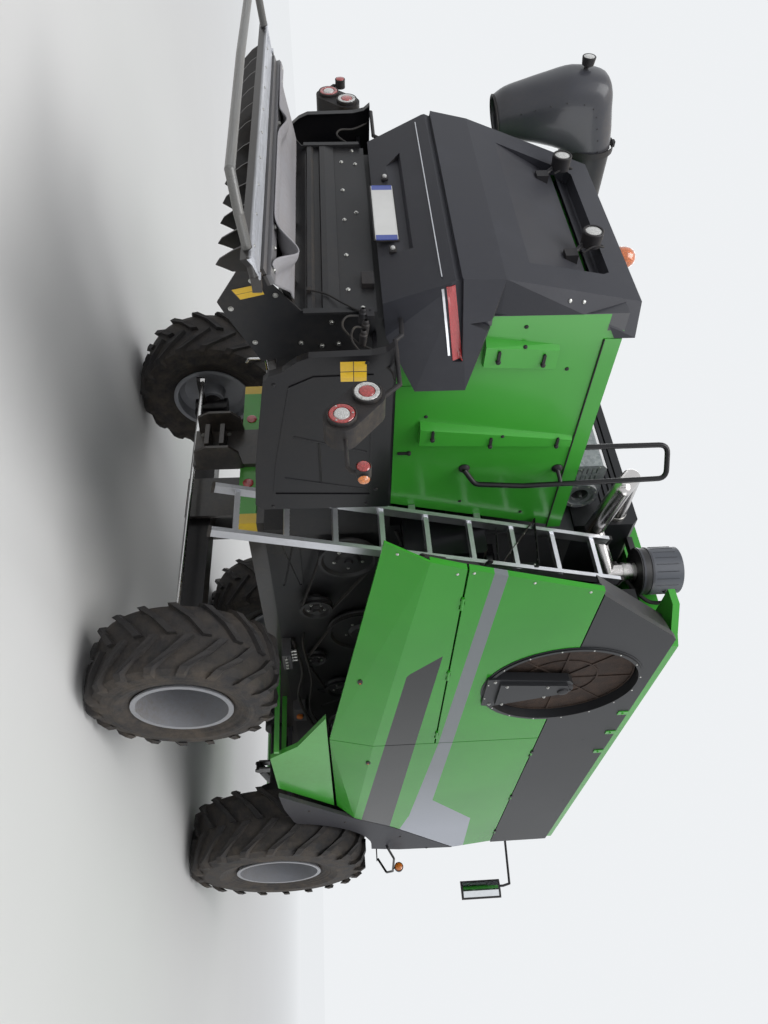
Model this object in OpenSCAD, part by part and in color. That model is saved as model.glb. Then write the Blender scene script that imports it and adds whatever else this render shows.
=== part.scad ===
// Combine harvester with five straw walkers, standing without its header.
// X runs forward, Y to the left and Z up. Lengths are in millimetres.
// Inside the modules x = 0 is the rear axle, and framed() moves it all to the middle of the length.

/* [Running gear] */
// Distance between the front and the rear axle
wheelbase = 3900; // [3860:10:4000]
// Diameter of a front tyre over its lugs
front_tyre_d = 1804; // [1740:4:1820]
// Width of a front tyre
front_tyre_w = 650; // [560:10:660]
// Diameter of a front rim at the tyre seat
front_rim_d = 813; // [760:1:860]
// Distance between the middles of the front tyres
front_track = 2830; // [2820:5:2860]
// Lugs on each half of a front tyre
front_lugs = 20; // [16:1:22]
// Diameter of a rear tyre over its lugs
rear_tyre_d = 1222; // [1180:2:1240]
// Width of a rear tyre
rear_tyre_w = 480; // [420:10:490]
// Diameter of a rear rim at the tyre seat
rear_rim_d = 610; // [560:1:640]
// Distance between the middles of the rear tyres
rear_track = 2790; // [2780:5:2820]
// Lugs on each half of a rear tyre
rear_lugs = 18; // [14:1:20]
// Radius of a wheel spindle
spindle_r = 45; // [40:1:50]
// Distance between the kingpins of the rear axle
kingpin_track = 2200; // [2180:5:2220]
// Radius of a kingpin
kingpin_r = 25; // [20:1:30]
// Length of a steering arm behind its kingpin
steer_arm = 300; // [290:5:320]

/* [Body] */
// Half of the width over the threshing body
body_hw = 700; // [680:5:720]
// Half of the width over the straw hood
hood_hw = 750; // [730:5:760]
// Height of the straw hood's roof
hood_top = 3087; // [3060:1:3110]
// Distance of the side panels' outer faces from the middle plane
panel_y = 1500; // [1490:1:1510]
// Thickness of a side panel
panel_t = 36; // [30:1:40]
// Height of the seam between the upper and lower rear panels
seam_z = 2320; // [2300:5:2340]
// Height of the seam under the dark band
band_z = 3128; // [3120:1:3136]
// Radius of the pins in the panel hinges
hinge_pin_r = 5; // [4:0.5:6]
// Diameter of the rotary dust screen
screen_d = 1010; // [960:5:1030]

/* [Grain tank] */
// Rear face of the grain tank
tank_x0 = 1150; // [1130:5:1200]
// Front face of the grain tank
tank_x1 = 3900; // [3860:5:3940]
// Wall of the grain tank
tank_t = 25; // [15:1:30]
// Height of the tank's rim
tank_top = 3720; // [3700:5:3740]

/* [Unloading auger] */
// Radius of the unloading tube
auger_r = 165; // [150:1:170]
// Length of the tube behind its turret
auger_len = 5450; // [5400:10:5500]

/* [Cab] */
// Half of the width over the cab
cab_hw = 880; // [860:5:890]
// Length of the cab
cab_len = 1500; // [1450:10:1550]
// Thickness of the cab's walls and pillars
cab_t = 50; // [40:1:60]

/* [Feeder house] */
// Length of the feeder house from its pivot to the header frame
feeder_len = 1720; // [1700:10:1750]
// Slope of the feeder house below level, in degrees
feeder_slope = 24; // [22:0.5:26]
// Half of the width of the feeder house
feeder_hw = 620; // [600:5:630]

/* [Access] */
// Width of the ladder at the engine deck
ladder_w = 340; // [320:5:350]
// Rungs of the ladder
ladder_rungs = 9; // [7:1:10]

/* [Hidden] */
$fn = 48;

// Colours
c_green = "#3FBF2E";
c_dark = "#2E3033";
c_black = "#17181A";
c_steel = "#8C9094";
c_silver = "#B9BDBF";
c_rubber = "#2A2826";
c_glass = "#9FB6BC";

// Clearances
run_gap = 0.05;    // shaft in a bore
face_gap = 0.3;    // faces that slide on each other
door_gap = 6;      // round doors and lids
bend_gap = 0.6;    // a bend's ball over its tube

// Running gear
front_r = front_tyre_d / 2;
rear_r = rear_tyre_d / 2;
front_y = front_track / 2;
rear_y = rear_track / 2;
kingpin_y = kingpin_track / 2;
front_lug_h = 42;
rear_lug_h = 34;

// Body
body_x0 = -650;
body_x1 = 4150;
body_z0 = 1160;
body_z1 = 2350;
rail_hw = 640;
rail_z0 = 1040;
hood_x0 = -2370;
hood_z0 = 1970;
panel_in = panel_y - panel_t;
split_x = 1100;
frame_y = panel_in - 44;
hinge_r = 9;

// Dust screen
screen_x = 165;
screen_z = 3115;
screen_y = 1440;    // outer face of the screen, sunk in its ring

// Unloading auger
turret_x = 3300;
turret_y = 1240;
auger_z = 3350;

// Air cleaner on the engine deck
clean_x = -300;
clean_y = -904;
cowl_y = -635;

// Cab
cab_x0 = body_x1;
cab_x1 = cab_x0 + cab_len;
cab_z0 = 1950;
cab_roof_z = 3560;

// Feeder house: pivot, height and header frame
feeder_x = 4450;
feeder_z = 1560;
feeder_hh = 260;
head_hh = 330;
head_t = 60;
// Lift cylinders: lower pin, and the rod's pin in the feeder's own axes
lift_x = 4140;
lift_z = 640;
lift_u = 900;
lift_w = -380;
lift_y = 510;
lift_ex = feeder_x + lift_u * cos(feeder_slope) + lift_w * sin(feeder_slope);
lift_ez = feeder_z - lift_u * sin(feeder_slope) + lift_w * cos(feeder_slope);
lift_len = norm([lift_ex - lift_x, lift_ez - lift_z]);
lift_tilt = atan2(lift_ez - lift_z, lift_ex - lift_x);

// Tailboard hinge, board and guard tube
board_x = -2440;
board_z = 1470;
board_len = 527;
board_slope = 16.6;
guard_x = -3230;
guard_r = 20;

// Ends of the machine, and the middle of its length
x_front = feeder_x + (feeder_len + head_t) * cos(feeder_slope) + head_hh * sin(feeder_slope);
x_rear = guard_x - guard_r - bend_gap;
x_mid = (x_front + x_rear) / 2;

// Helpers
module framed() translate([-x_mid, 0, 0]) children();
module both() { children(); mirror([0, 1, 0]) children(); }
module block(p, q) translate(p) cube(q - p);
module rod_x(x0, x1, y, z, r) translate([x0, y, z]) rotate([0, 90, 0]) cylinder(h = x1 - x0, r = r);
module rod_y(x, y0, y1, z, r) translate([x, y0, z]) rotate([-90, 0, 0]) cylinder(h = y1 - y0, r = r);
module rod_z(x, y, z0, z1, r) translate([x, y, z0]) cylinder(h = z1 - z0, r = r);
// A plate with its outline in X and Z, from y0 to y1
module xz_plate(y0, y1, pts) translate([0, y1, 0]) rotate([90, 0, 0]) linear_extrude(y1 - y0) polygon(pts);
// A bar with its outline in Y and Z, from x0 to x1
module yz_bar(x0, x1, pts) translate([x0, 0, 0]) rotate([90, 0, 90]) linear_extrude(x1 - x0) polygon(pts);
// A round bar from p to q
module bar(p, q, r) {
  v = q - p;
  translate(p) rotate([0, acos(v[2] / norm(v)), atan2(v[1], v[0])]) cylinder(h = norm(v), r = r);
}
// A bent tube through the points
module tube_run(pts, r) {
  for (i = [0 : len(pts) - 2]) bar(pts[i], pts[i + 1], r);
  for (i = [1 : len(pts) - 2]) translate(pts[i]) sphere(r = r + bend_gap);
}

// A flat-faced solid through its corner points
module convex(pts) hull() polyhedron(pts, [[for (i = [0 : len(pts) - 1]) i]]);
function mirrored(pts) = concat(pts, [for (p = pts) [p[0], -p[1], p[2]]]);
function shifted(pts, v) = [for (p = pts) p + v];
// An outline drawn in by d on every side, for corners that run counter-clockwise; a minus d for clockwise
function inset(p, d) = let (n = len(p)) [for (i = [0 : n - 1])
  let (a = p[(i + n - 1) % n], b = p[i], c = p[(i + 1) % n], u = (b - a) / norm(b - a), v = (c - b) / norm(c - b),
    nu = [-u[1], u[0]], nv = [-v[1], v[0]]) b + (nu + nv) * d / (1 + nu * nv)];
function reversed(p) = [for (i = [len(p) - 1 : -1 : 0]) p[i]];

// Wheels, each about the Y axis with its middle at the origin
module tyre(r, w, seat_r, lugs, lug_h, lug_w, phase) {
  crown = r - lug_h;
  h = crown - seat_r;
  half = [[seat_r, 0.39], [seat_r + 0.10 * h, 0.42], [seat_r + 0.42 * h, 0.50], [seat_r + 0.74 * h, 0.485],
    [seat_r + 0.93 * h, 0.44], [crown - 4, 0.34], [crown, 0.12]];
  pts = concat([for (p = half) [p[0], p[1] * w]], [for (i = [len(half) - 1 : -1 : 0]) [half[i][0], -half[i][1] * w]]);
  rotate([90, 0, 0]) rotate_extrude($fn = 96) polygon(pts);
  for (i = [0 : lugs - 1]) {
    lug(r, w, lug_h, lug_w, phase + i * 360 / lugs, 1);
    lug(r, w, lug_h, lug_w, phase + (i + 0.5) * 360 / lugs, -1);
  }
}
// One lug from the middle of the tread to the shoulder, by stations of:
// share of the width, lead in shares of the pitch angle, top below the tip, foot below the tip
lug_rows = [[0.01, 1.0, 0, 1.25], [0.22, 0.62, 0.02, 1.25], [0.44, 0.06, 0.35, 1.9], [0.50, -0.04, 1.6, 3.2]];
module lug(r, w, lug_h, lug_w, at, side) {
  lead = 0.5 * w / r * 57.3;
  pts = [for (s = lug_rows) let (y = side * s[0] * w, a = at + s[1] * lead, ra = r - s[2] * lug_h,
      rb = r - s[3] * lug_h, ha = lug_w / 2 / r * 57.3, hb = ha * 1.35)
    each [[rb * sin(a - hb), y, rb * cos(a - hb)], [rb * sin(a + hb), y, rb * cos(a + hb)],
      [ra * sin(a + ha), y, ra * cos(a + ha)], [ra * sin(a - ha), y, ra * cos(a - ha)]]];
  n = len(lug_rows);
  walls = [for (k = [0 : n - 2], j = [0 : 3]) let (a = 4 * k + j, b = 4 * k + (j + 1) % 4)
    each [[a, b, b + 4], [a, b + 4, a + 4]]];
  ends = [[0, 3, 2], [0, 2, 1], [4 * n - 4, 4 * n - 3, 4 * n - 2], [4 * n - 4, 4 * n - 2, 4 * n - 1]];
  all = concat(walls, ends);
  polyhedron(pts, side > 0 ? all : [for (f = all) [f[2], f[1], f[0]]]);
}
// Rim with its outer side at +Y: half width, disc's place, bore and hub
module rim(seat_r, w, disc_y, hub_y0, hub_r) {
  e = 0.45 * w;
  rotate([-90, 0, 0]) rotate_extrude($fn = 96)
    polygon([[seat_r - 14, -e], [seat_r + 18, -e], [seat_r + 18, -e + 10], [seat_r - face_gap, -e + 14],
      [seat_r - face_gap, e - 14], [seat_r + 18, e - 10], [seat_r + 18, e], [seat_r - 14, e]]);
  rotate([-90, 0, 0]) rotate_extrude($fn = 96)
    polygon([[spindle_r + run_gap, hub_y0], [hub_r, hub_y0], [hub_r, disc_y - 10], [seat_r - 60, disc_y - 10],
      [seat_r - 8, disc_y - 34], [seat_r - 8, disc_y - 20], [seat_r - 58, disc_y + 6], [hub_r, disc_y + 6],
      [hub_r * 0.9, disc_y + 50], [spindle_r + run_gap, disc_y + 50]]);
}

// Wheel nuts on a circle of radius r, on the disc's outer face, and the cap over the spindle
module nuts(n, r, y, d) for (a = [0 : 360 / n : 359]) rotate([0, a, 0]) rod_y(r, y, y + 26, 0, d / 2);
module front_rim_at(side) framed() color(c_silver) translate([wheelbase, side * front_y, front_r])
  mirror([0, side < 0 ? 1 : 0, 0]) {
    rim(front_rim_d / 2, front_tyre_w, -90, 1135 - front_y, 120);
    nuts(10, 165, -85, 34);
    rotate_ring(0, 0, 222, 262, -85, -76);
  }
module front_tyre_at(side) framed() color(c_rubber) translate([wheelbase, side * front_y, front_r])
  mirror([0, side < 0 ? 1 : 0, 0]) tyre(front_r, front_tyre_w, front_rim_d / 2, front_lugs, front_lug_h, 62,
    180 - lug_rows[0][1] * 0.5 * front_tyre_w / front_r * 57.3 + 31 / front_r * 57.3);
module rear_rim_at(side) framed() color(c_silver) translate([0, side * rear_y, rear_r])
  mirror([0, side < 0 ? 1 : 0, 0]) {
    rim(rear_rim_d / 2, rear_tyre_w, -90, 1168 - rear_y, 95);
    nuts(8, 132, -85, 30);
    rotate_ring(0, 0, 176, 206, -85, -78);
  }
module rear_tyre_at(side) framed() color(c_rubber) translate([0, side * rear_y, rear_r])
  mirror([0, side < 0 ? 1 : 0, 0]) tyre(rear_r, rear_tyre_w, rear_rim_d / 2, rear_lugs, rear_lug_h, 50,
    180 - lug_rows[0][1] * 0.5 * rear_tyre_w / rear_r * 57.3 + 25 / rear_r * 57.3);

module front_right_rim() front_rim_at(-1);
module front_right_tyre() front_tyre_at(-1);
module front_left_rim() front_rim_at(1);
module front_left_tyre() front_tyre_at(1);
module rear_right_rim() rear_rim_at(-1);
module rear_right_tyre() rear_tyre_at(-1);
module rear_left_rim() rear_rim_at(1);
module rear_left_tyre() rear_tyre_at(1);

// Chassis and axles
module chassis_frame() framed() color(c_black) {
  both() block([body_x0, rail_hw - 80, rail_z0], [body_x1, rail_hw, body_z0]);
  for (x = [-150, 2000, 4050])
    block([x, -rail_hw, rail_z0], [x + (x == -150 ? 300 : 100), rail_hw, body_z0]);
  // cross bar behind the axle
  block([body_x0, -rail_hw, rail_z0 - 55], [body_x0 + 100, rail_hw, body_z0 - 55]);
  block([body_x0 + 20, -rail_hw + 80, body_z0 - 55], [body_x0 + 80, rail_hw - 80, body_z0]);
  // ears and pin that the rear axle swings on
  for (x = [-150, 122]) block([x, -180, rear_r - 91], [x + 28, 180, rail_z0]);
  rod_x(-122, 122, 0, rear_r, 35);
  // ears and pins of the lift cylinders
  both() for (y = [lift_y - 50, lift_y + 30]) {
    block([4060, y, lift_z], [4180, y + 20, body_z0]);
    rod_y(lift_x, y, y + 20, lift_z, 50);
  }
  both() rod_y(lift_x, lift_y - 40, lift_y + 40, lift_z, 20);
  drawbar_clevis();
}
// Clevis with cheeks, below the cross bar
module drawbar_clevis() difference() {
  union() {
    block([body_x0 - 40, -160, 670], [body_x0, 160, body_z0 - 55]);
    for (z = [760, 860]) block([body_x0 - 180, -90, z], [body_x0 - 40, 90, z + 30]);
    both() xz_plate(150, 170, [[body_x0, 690], [body_x0 - 180, 700], [body_x0 - 220, 780], [body_x0 - 220, 930],
      [body_x0 - 160, 990], [body_x0, 1010]]);
  }
  rod_z(body_x0 - 130, 0, 750, 900, 16);
}

module front_axle() framed() color(c_dark) {
  rod_y(wheelbase, -850, 850, front_r, 120);
  rod_y(wheelbase, -170, 170, front_r, 185);
  both() {
    rod_y(wheelbase, 850, 980, front_r, 230);
    rod_y(wheelbase, 980, 1134, front_r, 110);
    rod_y(wheelbase, 1134, front_y - 90 + 50, front_r, spindle_r);
    block([wheelbase - 80, rail_hw - 80, front_r], [wheelbase + 80, rail_hw, rail_z0]);
  }
}

module rear_axle() framed() color(c_black) {
  difference() {
    union() {
      block([-90, -kingpin_y + 160, rear_r - 85], [90, kingpin_y - 160, rear_r + 85]);
      rod_x(-121.7, 121.7, 0, rear_r, 70);
      both() {
        block([-45, kingpin_y - 160, rear_r - 85], [45, kingpin_y - 115, rear_r + 85]);
        block([-45, kingpin_y - 115, rear_r - 130], [45, kingpin_y - 90, rear_r + 130]);
        for (z = [rear_r - 130, rear_r + 105]) {
          block([-45, kingpin_y - 90, z], [45, kingpin_y, z + 25]);
          rod_z(0, kingpin_y, z, z + 25, 70);
        }
        rod_z(0, kingpin_y, rear_r - 130, rear_r + 130, kingpin_r);
      }
    }
    rod_x(-130, 130, 0, rear_r, 35 + run_gap);
  }
}

module knuckle_at(side) framed() color(c_dark) mirror([0, side < 0 ? 1 : 0, 0]) {
  difference() {
    union() {
      rod_z(0, kingpin_y, rear_r - 105 + face_gap, rear_r + 105 - face_gap, 60);
      rod_y(0, kingpin_y, 1167, rear_r, 70);
      xy_arm();
    }
    rod_z(0, kingpin_y, rear_r - 130, rear_r + 130, kingpin_r + run_gap);
  }
  rod_y(0, 1167, rear_y - 90 + 50, rear_r, spindle_r);
  rod_z(-steer_arm, kingpin_y, rear_r - 70, rear_r - 10, 15);
}
module xy_arm() {
  block([-steer_arm, kingpin_y - 30, rear_r - 80], [0, kingpin_y + 30, rear_r - 50]);
  rod_z(-steer_arm, kingpin_y, rear_r - 80, rear_r - 50, 30);
}
module right_knuckle() knuckle_at(-1);
module left_knuckle() knuckle_at(1);
module tie_rod() framed() color(c_steel) difference() {
  union() {
    rod_y(-steer_arm, -kingpin_y + 25, kingpin_y - 25, rear_r - 32, 16);
    both() rod_z(-steer_arm, kingpin_y, rear_r - 50 + face_gap, rear_r - 14, 28);
  }
  both() rod_z(-steer_arm, kingpin_y, rear_r - 60, rear_r, 15 + run_gap);
}

// Body
module threshing_body() framed() color(c_dark) {
  xz_plate(-body_hw, body_hw, [[body_x0, body_z0], [body_x1, body_z0], [body_x1, body_z1], [body_x0, body_z1]]);
  // ears and pins of the feeder house
  both() {
    block([body_x1, feeder_hw + 20, feeder_z - 90], [feeder_x, feeder_hw + 45, feeder_z + 90]);
    rod_y(feeder_x, feeder_hw + 20, feeder_hw + 45, feeder_z, 90);
    rod_y(feeder_x, feeder_hw - 30, feeder_hw + 45, feeder_z, 30);
  }
}

// Rails, posts and arms that carry the side panels
module side_frame() framed() color(c_black) difference() {
  both() side_rails();
  // the right rail ends at the dust screen
  mirror([0, 1, 0]) rod_y(screen_x, frame_y - 5, panel_in + 5, screen_z, screen_d / 2 + 45 + face_gap);
}
module side_rails() {
  block([-1000, frame_y, band_z - 68], [3920, panel_in, band_z - 3]);
  block([-1000, frame_y, seam_z + 10], [split_x, panel_in, seam_z + 50]);
  for (x = [-640, split_x - 20, 3880])
    block([x, frame_y, seam_z + 10], [x + 40, panel_in, band_z - 68]);
  for (x = [-345, split_x - 20, 3880])
    block([x, body_hw, body_z1 - 60], [x + 40, panel_in - 5, body_z1 - 20]);
}

// Pressed ribs on each side of the straw hood: rear and front foot, front and rear top, foot and top height,
// and how far foot and top stand out
hood_ribs = [[-2240, -2064, -2016, -2188, 2400, 2780, 50, 22], [-1671, -1496, -1416, -1522, 2110, 2985, 50, 18]];
module straw_hood() framed() color(c_green) difference() {
  union() {
    xz_plate(-hood_hw, hood_hw, [[hood_x0, hood_z0], [hood_x0, hood_top], [body_x0, hood_top], [-950, hood_z0]]);
    both() {
      for (r = hood_ribs) convex([[r[0], hood_hw - 5, r[4]], [r[1], hood_hw - 5, r[4]], [r[2], hood_hw - 5, r[5]],
        [r[3], hood_hw - 5, r[5]], [r[0] + 25, hood_hw + r[6], r[4]], [r[1] - 25, hood_hw + r[6], r[4]],
        [r[2] - 25, hood_hw + r[7], r[5]], [r[3] + 25, hood_hw + r[7], r[5]]]);
      // laps of the sheets under the roof's edge and along the foot
      block([-2215, hood_hw, hood_top - 88], [body_x0, hood_hw + 4, hood_top]);
      block([-1930, hood_hw, hood_z0], [-1020, hood_hw + 4, hood_z0 + 112]);
    }
  }
  // room for the rear hood's sunk field
  block([hood_x0 - 1, -hood_well, 2750], [hood_x0 + 100, hood_well, hood_top + 1]);
}

// Half of the width of the pocket in the straw hood
hood_well = 600;
// Corners of the rear hood's left half: its cap over the knee, and the belt under it with the side's tip
hood_cap = [[-2354, 645, 3177], [-2578, 753, 2455], [-2384, 753, 2455], [-2560, 740, 2320], [-2390, 740, 2320],
  [-2220, 756, 3150], [-2220, 756, 3043]];
hood_belt = [[-2578, 753, 2455], [-2607, 787, 2245], [-2450, 745, 1890], [-2010, 800, 2336], [-1985, 850, 2312],
  [-1985, 850, 2055], [-2300, 800, 1905], [-2330, 752, 2420]];
// Groove along the sides, at its rear and its front end: the bottom of the groove, and two points outside
hood_groove = [[-2645, 760, 2243], [-2645, 843, 1990], [-2645, 843, 2256],
  [-2160, 808, 2280], [-2160, 892, 2110], [-2160, 892, 2292]];
module rear_hood() framed() color(c_dark) difference() {
  union() {
    convex(mirrored(hood_cap));
    convex(mirrored(hood_belt));
  }
  // the straw hood's room
  difference() {
    block([hood_x0 - face_gap, -hood_hw - face_gap, 1800], [-1900, hood_hw + face_gap, hood_top + face_gap]);
    block([hood_x0 - 1, -hood_well + face_gap, 2750 + face_gap], [hood_x0 + 99, hood_well - face_gap, 3200]);
  }
  // the flanges end in a flag under the roof's edge
  xz_plate(-900, 900, [[hood_x0, 2300], [hood_x0, 2960], [-2210, 3050], [-2100, 3050], [-2100, 2500], [-2300, 2425]]);
  // sunk field of the rear face with the work lamps
  intersection() {
    xz_plate(-600, 600, [[-2533, 2600], [-2330, 3019], [-2330, 3030], [-2396, 3045], [-2500, 3060], [-2640, 2600]]);
    yz_bar(-2650, -2300, [[-570, 2580], [570, 2580], [490, 3010], [450, 3060], [-450, 3060], [-490, 3010]]);
  }
  // groove across the rear and along both sides
  xz_plate(-900, 900, [[-2660, 2256], [-2586, 2243], [-2660, 1990]]);
  both() convex(hood_groove);
  // seat of the plate
  intersection() {
    xz_plate(-600, 600, [[-2660, 2062], [-2540, 2062], [-2488, 2045], [-2488, 1880], [-2440, 1850], [-2660, 1850]]);
    yz_bar(-2700, -2400, [[500, 2075], [-420, 2075], [-370, 1850], [280, 1850]]);
  }
}

module chopper_housing() framed() color(c_dark) {
  xz_plate(-hood_hw, hood_hw, [[body_x0, 1330], [body_x0, hood_z0], [hood_x0, hood_z0], [hood_x0, 1866],
    [-2410, 1866], [-2410, 1530], [-2380, 1450], [-2300, 1390], [-1500, 1300]]);
  // folded bands across the rear
  xz_plate(-hood_hw, hood_hw, [[-2409, 1606], [-2430, 1612], [-2430, 1640], [-2418, 1692], [-2409, 1692]]);
  xz_plate(-hood_hw, hood_hw, [[-2409, 1534], [-2428, 1540], [-2428, 1562], [-2416, 1576], [-2409, 1576]]);
  // side plates that reach down past the tailboard's hinge
  both() xz_plate(hood_hw - 2, hood_hw + 8, [[-2175, 1860], [-2436, 1843], [-2430, 1509], [-2465, 1480],
    [-2588, 1380], [-2690, 1268], [-2486, 1132], [-2404, 1166], [-2130, 1300], [-2177, 1549]]);
  // flange with the bolts along each side plate
  both() block([-2434, hood_hw - 4, 1520], [-2420, hood_hw + 30, 1840]);
  // ears of the tailboard's hinge
  for (y = [-500, 0, 500]) {
    block([board_x, y - 20, board_z - 12], [-2380, y + 20, board_z + 12]);
    rod_y(board_x, y - 20, y + 20, board_z, 12);
    rod_y(board_x, y - 60, y + 60, board_z, 8);
  }
}

cover_pts = [[-2505, 1921], [-2475, 1885], [-2460, 1820], [-2453, 1545], [-2430, 1492], [-2373, 1424],
  [-2350, 1362], [-2318, 1335], [-1772, 1244], [-1441, 1209], [-1396, 1250], [-1385, 1918]];
cover_frame = [[-2350, 1830], [-2345, 1560], [-2285, 1445], [-1775, 1345], [-1520, 1310], [-1490, 1830]];
module side_covers() framed() color(c_black) both() {
  difference() {
    xz_plate(1072, 1112, cover_pts);
    xz_plate(1071, 1108, inset(cover_pts, 6));
  }
  // pressed frame inside the edge, and the arms that carry the cover
  difference() {
    xz_plate(1108, 1118, cover_frame);
    xz_plate(1107, 1119, inset(cover_frame, 12));
  }
  for (x = [-2300, -1560]) block([x, hood_hw + (x < -2200 ? 8 : 0), 1840], [x + 40, 1108.5, 1862]);
}

// Rear lamps: place in Y and Z of the upper and the lower lamp of a cluster
lamp_up = [1310, 1790];
lamp_low = [1430, 1680];
module lamp_clusters() color(c_black) both() {
  // moulded housing round both lamps, and its foot towards the cover
  hull() {
    rod_x(-2418, -2300, lamp_up[0], lamp_up[1], 80, $fn = 40);
    rod_x(-2410, -2290, lamp_low[0], lamp_low[1], 80, $fn = 40);
  }
  rod_x(-2432, -2410, lamp_up[0], lamp_up[1], 62);
  rod_x(-2424, -2400, lamp_low[0], lamp_low[1], 62);
  tube_run([[-2390, 774, 1975], [-2390, 900, 1970], [-2390, 935, 1937], [-2390, 1225, 1937], [-2370, 1300, 1840]], 11);
  // side marker on its bent arm
  tube_run([[-2350, 1480, 1690], [-2350, 1655, 1695], [-2350, 1680, 1712], [-2350, 1682, 1740]], 9);
  rod_x(-2385, -2335, 1686, 1758, 32);
  rod_y(-2350, 1686, 1724, 1758, 24);
}
// Work lamps in the rear hood's sunk field, each on an arm: Y, Z and the arm's foot
work_lamps = [[470, 2975, 400], [-270, 2985, -350]];
module work_lamp(y, z, foot) {
  rod_x(-2495, -2430, y, z, 52);
  rod_x(-2503, -2494, y, z, 44);
  bar([-2440, y, z - 30], [-2418, foot, z - 115], 12);
  block([-2440, foot - 30, z - 150], [-2380, foot + 30, z - 85]);
}
module rear_lamps() framed() {
  difference() {
    lamp_clusters();
    convex(mirrored(hood_belt));
  }
  color(c_black) difference() {
    for (w = work_lamps) work_lamp(w[0], w[1], w[2]);
    // the sunk field's floor
    xz_plate(-600, 600, [[-2533 - face_gap, 2600], [-2330 - face_gap, 3019], [-2200, 3019], [-2200, 2600]]);
  }
  color("orange") beacon();
}
beacon_x = -2158;
module beacon() {
  rod_z(beacon_x, 0, hood_top, hood_top + 217, 58);
  translate([beacon_x, 0, hood_top + 217]) intersection() {
    sphere(r = 58);
    block([-80, -80, 0], [80, 80, 80]);
  }
}

module tailboard_axes() translate([board_x, 0, board_z]) rotate([0, -board_slope, 0]) children();
// Vanes under the board: where each starts in Y, its bend's radius and its front end
vanes = [[70, 2600, -130], [210, 1300, -130], [350, 900, -130], [490, 720, -130], [620, 600, -130], [790, 700, -240]];
module vane(y, r, u) intersection() {
  translate([-60, y + r, -300]) difference() {
    cylinder(h = 300, r = r);
    translate([0, 0, -1]) cylinder(h = 302, r = r - 6);
  }
  xz_plate(y - 10, y + 400, [[u, -11], [u - 50, -60], [-330, -145], [-405, -185], [-440, -150], [-475, -70],
    [-488, -11]]);
}
module tailboard() framed() color(c_black) {
  difference() {
    tailboard_axes() union() {
      translate([0, 0, -12]) linear_extrude(24) polygon([[0, -740], [0, 740], [-150, 740], [-360, 990],
        [-board_len, 1100], [-board_len, -1100], [-360, -990], [-150, -740]]);
      rod_y(0, -740, 740, 0, 12);
      // bolted strip, the ledge behind it and the tray's lip
      block([-360, -990, 12], [-310, 990, 45]);
      block([-392, -985, 12], [-360, 985, 26]);
      block([-board_len, -1090, 12], [-board_len + 12, 1090, 34]);
      both() for (v = vanes) vane(v[0], v[1], v[2]);
    }
    for (y = [-500, 0, 500]) {
      rod_y(board_x, y - 20 - face_gap, y + 20 + face_gap, board_z, 14);
      block([board_x - 5, y - 20.5, board_z - 60], [board_x + 80, y + 20.5, board_z + 60]);
      rod_y(board_x, y - 61, y + 61, board_z, 8 + run_gap);
    }
  }
  both() tube_run([[-2790, 1040, 1352], [-3100, 1035, 1320], [guard_x, 960, 1300], [guard_x, 0, 1292]], guard_r);
  both() block([-2830, 1020, 1335], [-2760, 1060, 1375]);
}

// Rubber flap that lies on the board
module rubber_flap() framed() color(c_rubber) tailboard_axes() translate([0, 0, 12 + face_gap])
  linear_extrude(8) polygon([[-40, -720], [-40, 720], [-300, 880], [-300, -880]]);
// Cable from the lamps' bracket to the clip under the housing's lower edge
cable_pts = [[-2440, -812, 1830], [-2440, -690, 1697], [-2440, -615, 1545]];
module rear_cable() framed() color(c_black) {
  tube_run(cable_pts, 5);
  block([-2448, -826, 1812], [-2434.3, -770, 1848]);
  block([-2446, -627, 1537], [-2428.3, -603, 1557]);
}

// Engine deck
module engine() framed() color(c_steel) block([-450, -650, body_z1], [800, 450, 3250]);
module cooler() framed() color(c_black) {
  block([-330, -frame_y + 2, 2640], [660, -1060, 3600]);
  block([-330, -1060, body_z1], [660, -652, 2700]);
  rod_y(screen_x, -screen_y - 14, -frame_y + 2, screen_z, 25);
}
module engine_cowl() framed() color(c_dark) difference() {
  yz_bar(-480, 1140, [[cowl_y, 3250], [cowl_y, 3660], [cowl_y + 40, 3700], [920, 3700], [960, 3660], [960, 3250]]);
  // louvres towards the rear
  for (z = [3470 : 40 : 3630]) block([-481, cowl_y + 120, z], [-462, 840, z + 14]);
}
module air_intake() framed() color(c_steel) {
  rod_z(clean_x, clean_y, 3648, 3927, 158);
  block([clean_x - 30, clean_y + 100, 3652], [clean_x + 30, cowl_y, 3690]);
  tube_run([[clean_x, clean_y, 3650], [clean_x, clean_y, 3450], [-530, -700, 3358], [-930, -680, 3450],
    [-880, -560, 3550], [-480, -560, 3550]], 62);
}
// Exhaust box with its slots and the ring round the outlet
exhaust_y = -460;
exhaust_top = 3420;
module exhaust_box() framed() color(c_silver) {
  difference() {
    union() {
      block([-900, exhaust_y, hood_top], [-490, 380, exhaust_top - 30]);
      xz_plate(exhaust_y, 380, [[-900, exhaust_top - 30], [-870, exhaust_top], [-520, exhaust_top],
        [-490, exhaust_top - 30]]);
    }
    for (x = [-870, -800], z = [3160 : 32 : 3352]) block([x, exhaust_y - 1, z], [x + 48, exhaust_y + 10, z + 9]);
    rod_y(-625, exhaust_y - 1, exhaust_y + 60, 3285, 58);
  }
  rotate_ring(-625, 3285, 58, 118, exhaust_y - 22, exhaust_y + 1);
  rotate_ring(-625, 3285, 92, 118, exhaust_y - 34, exhaust_y - 21);
}
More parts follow.
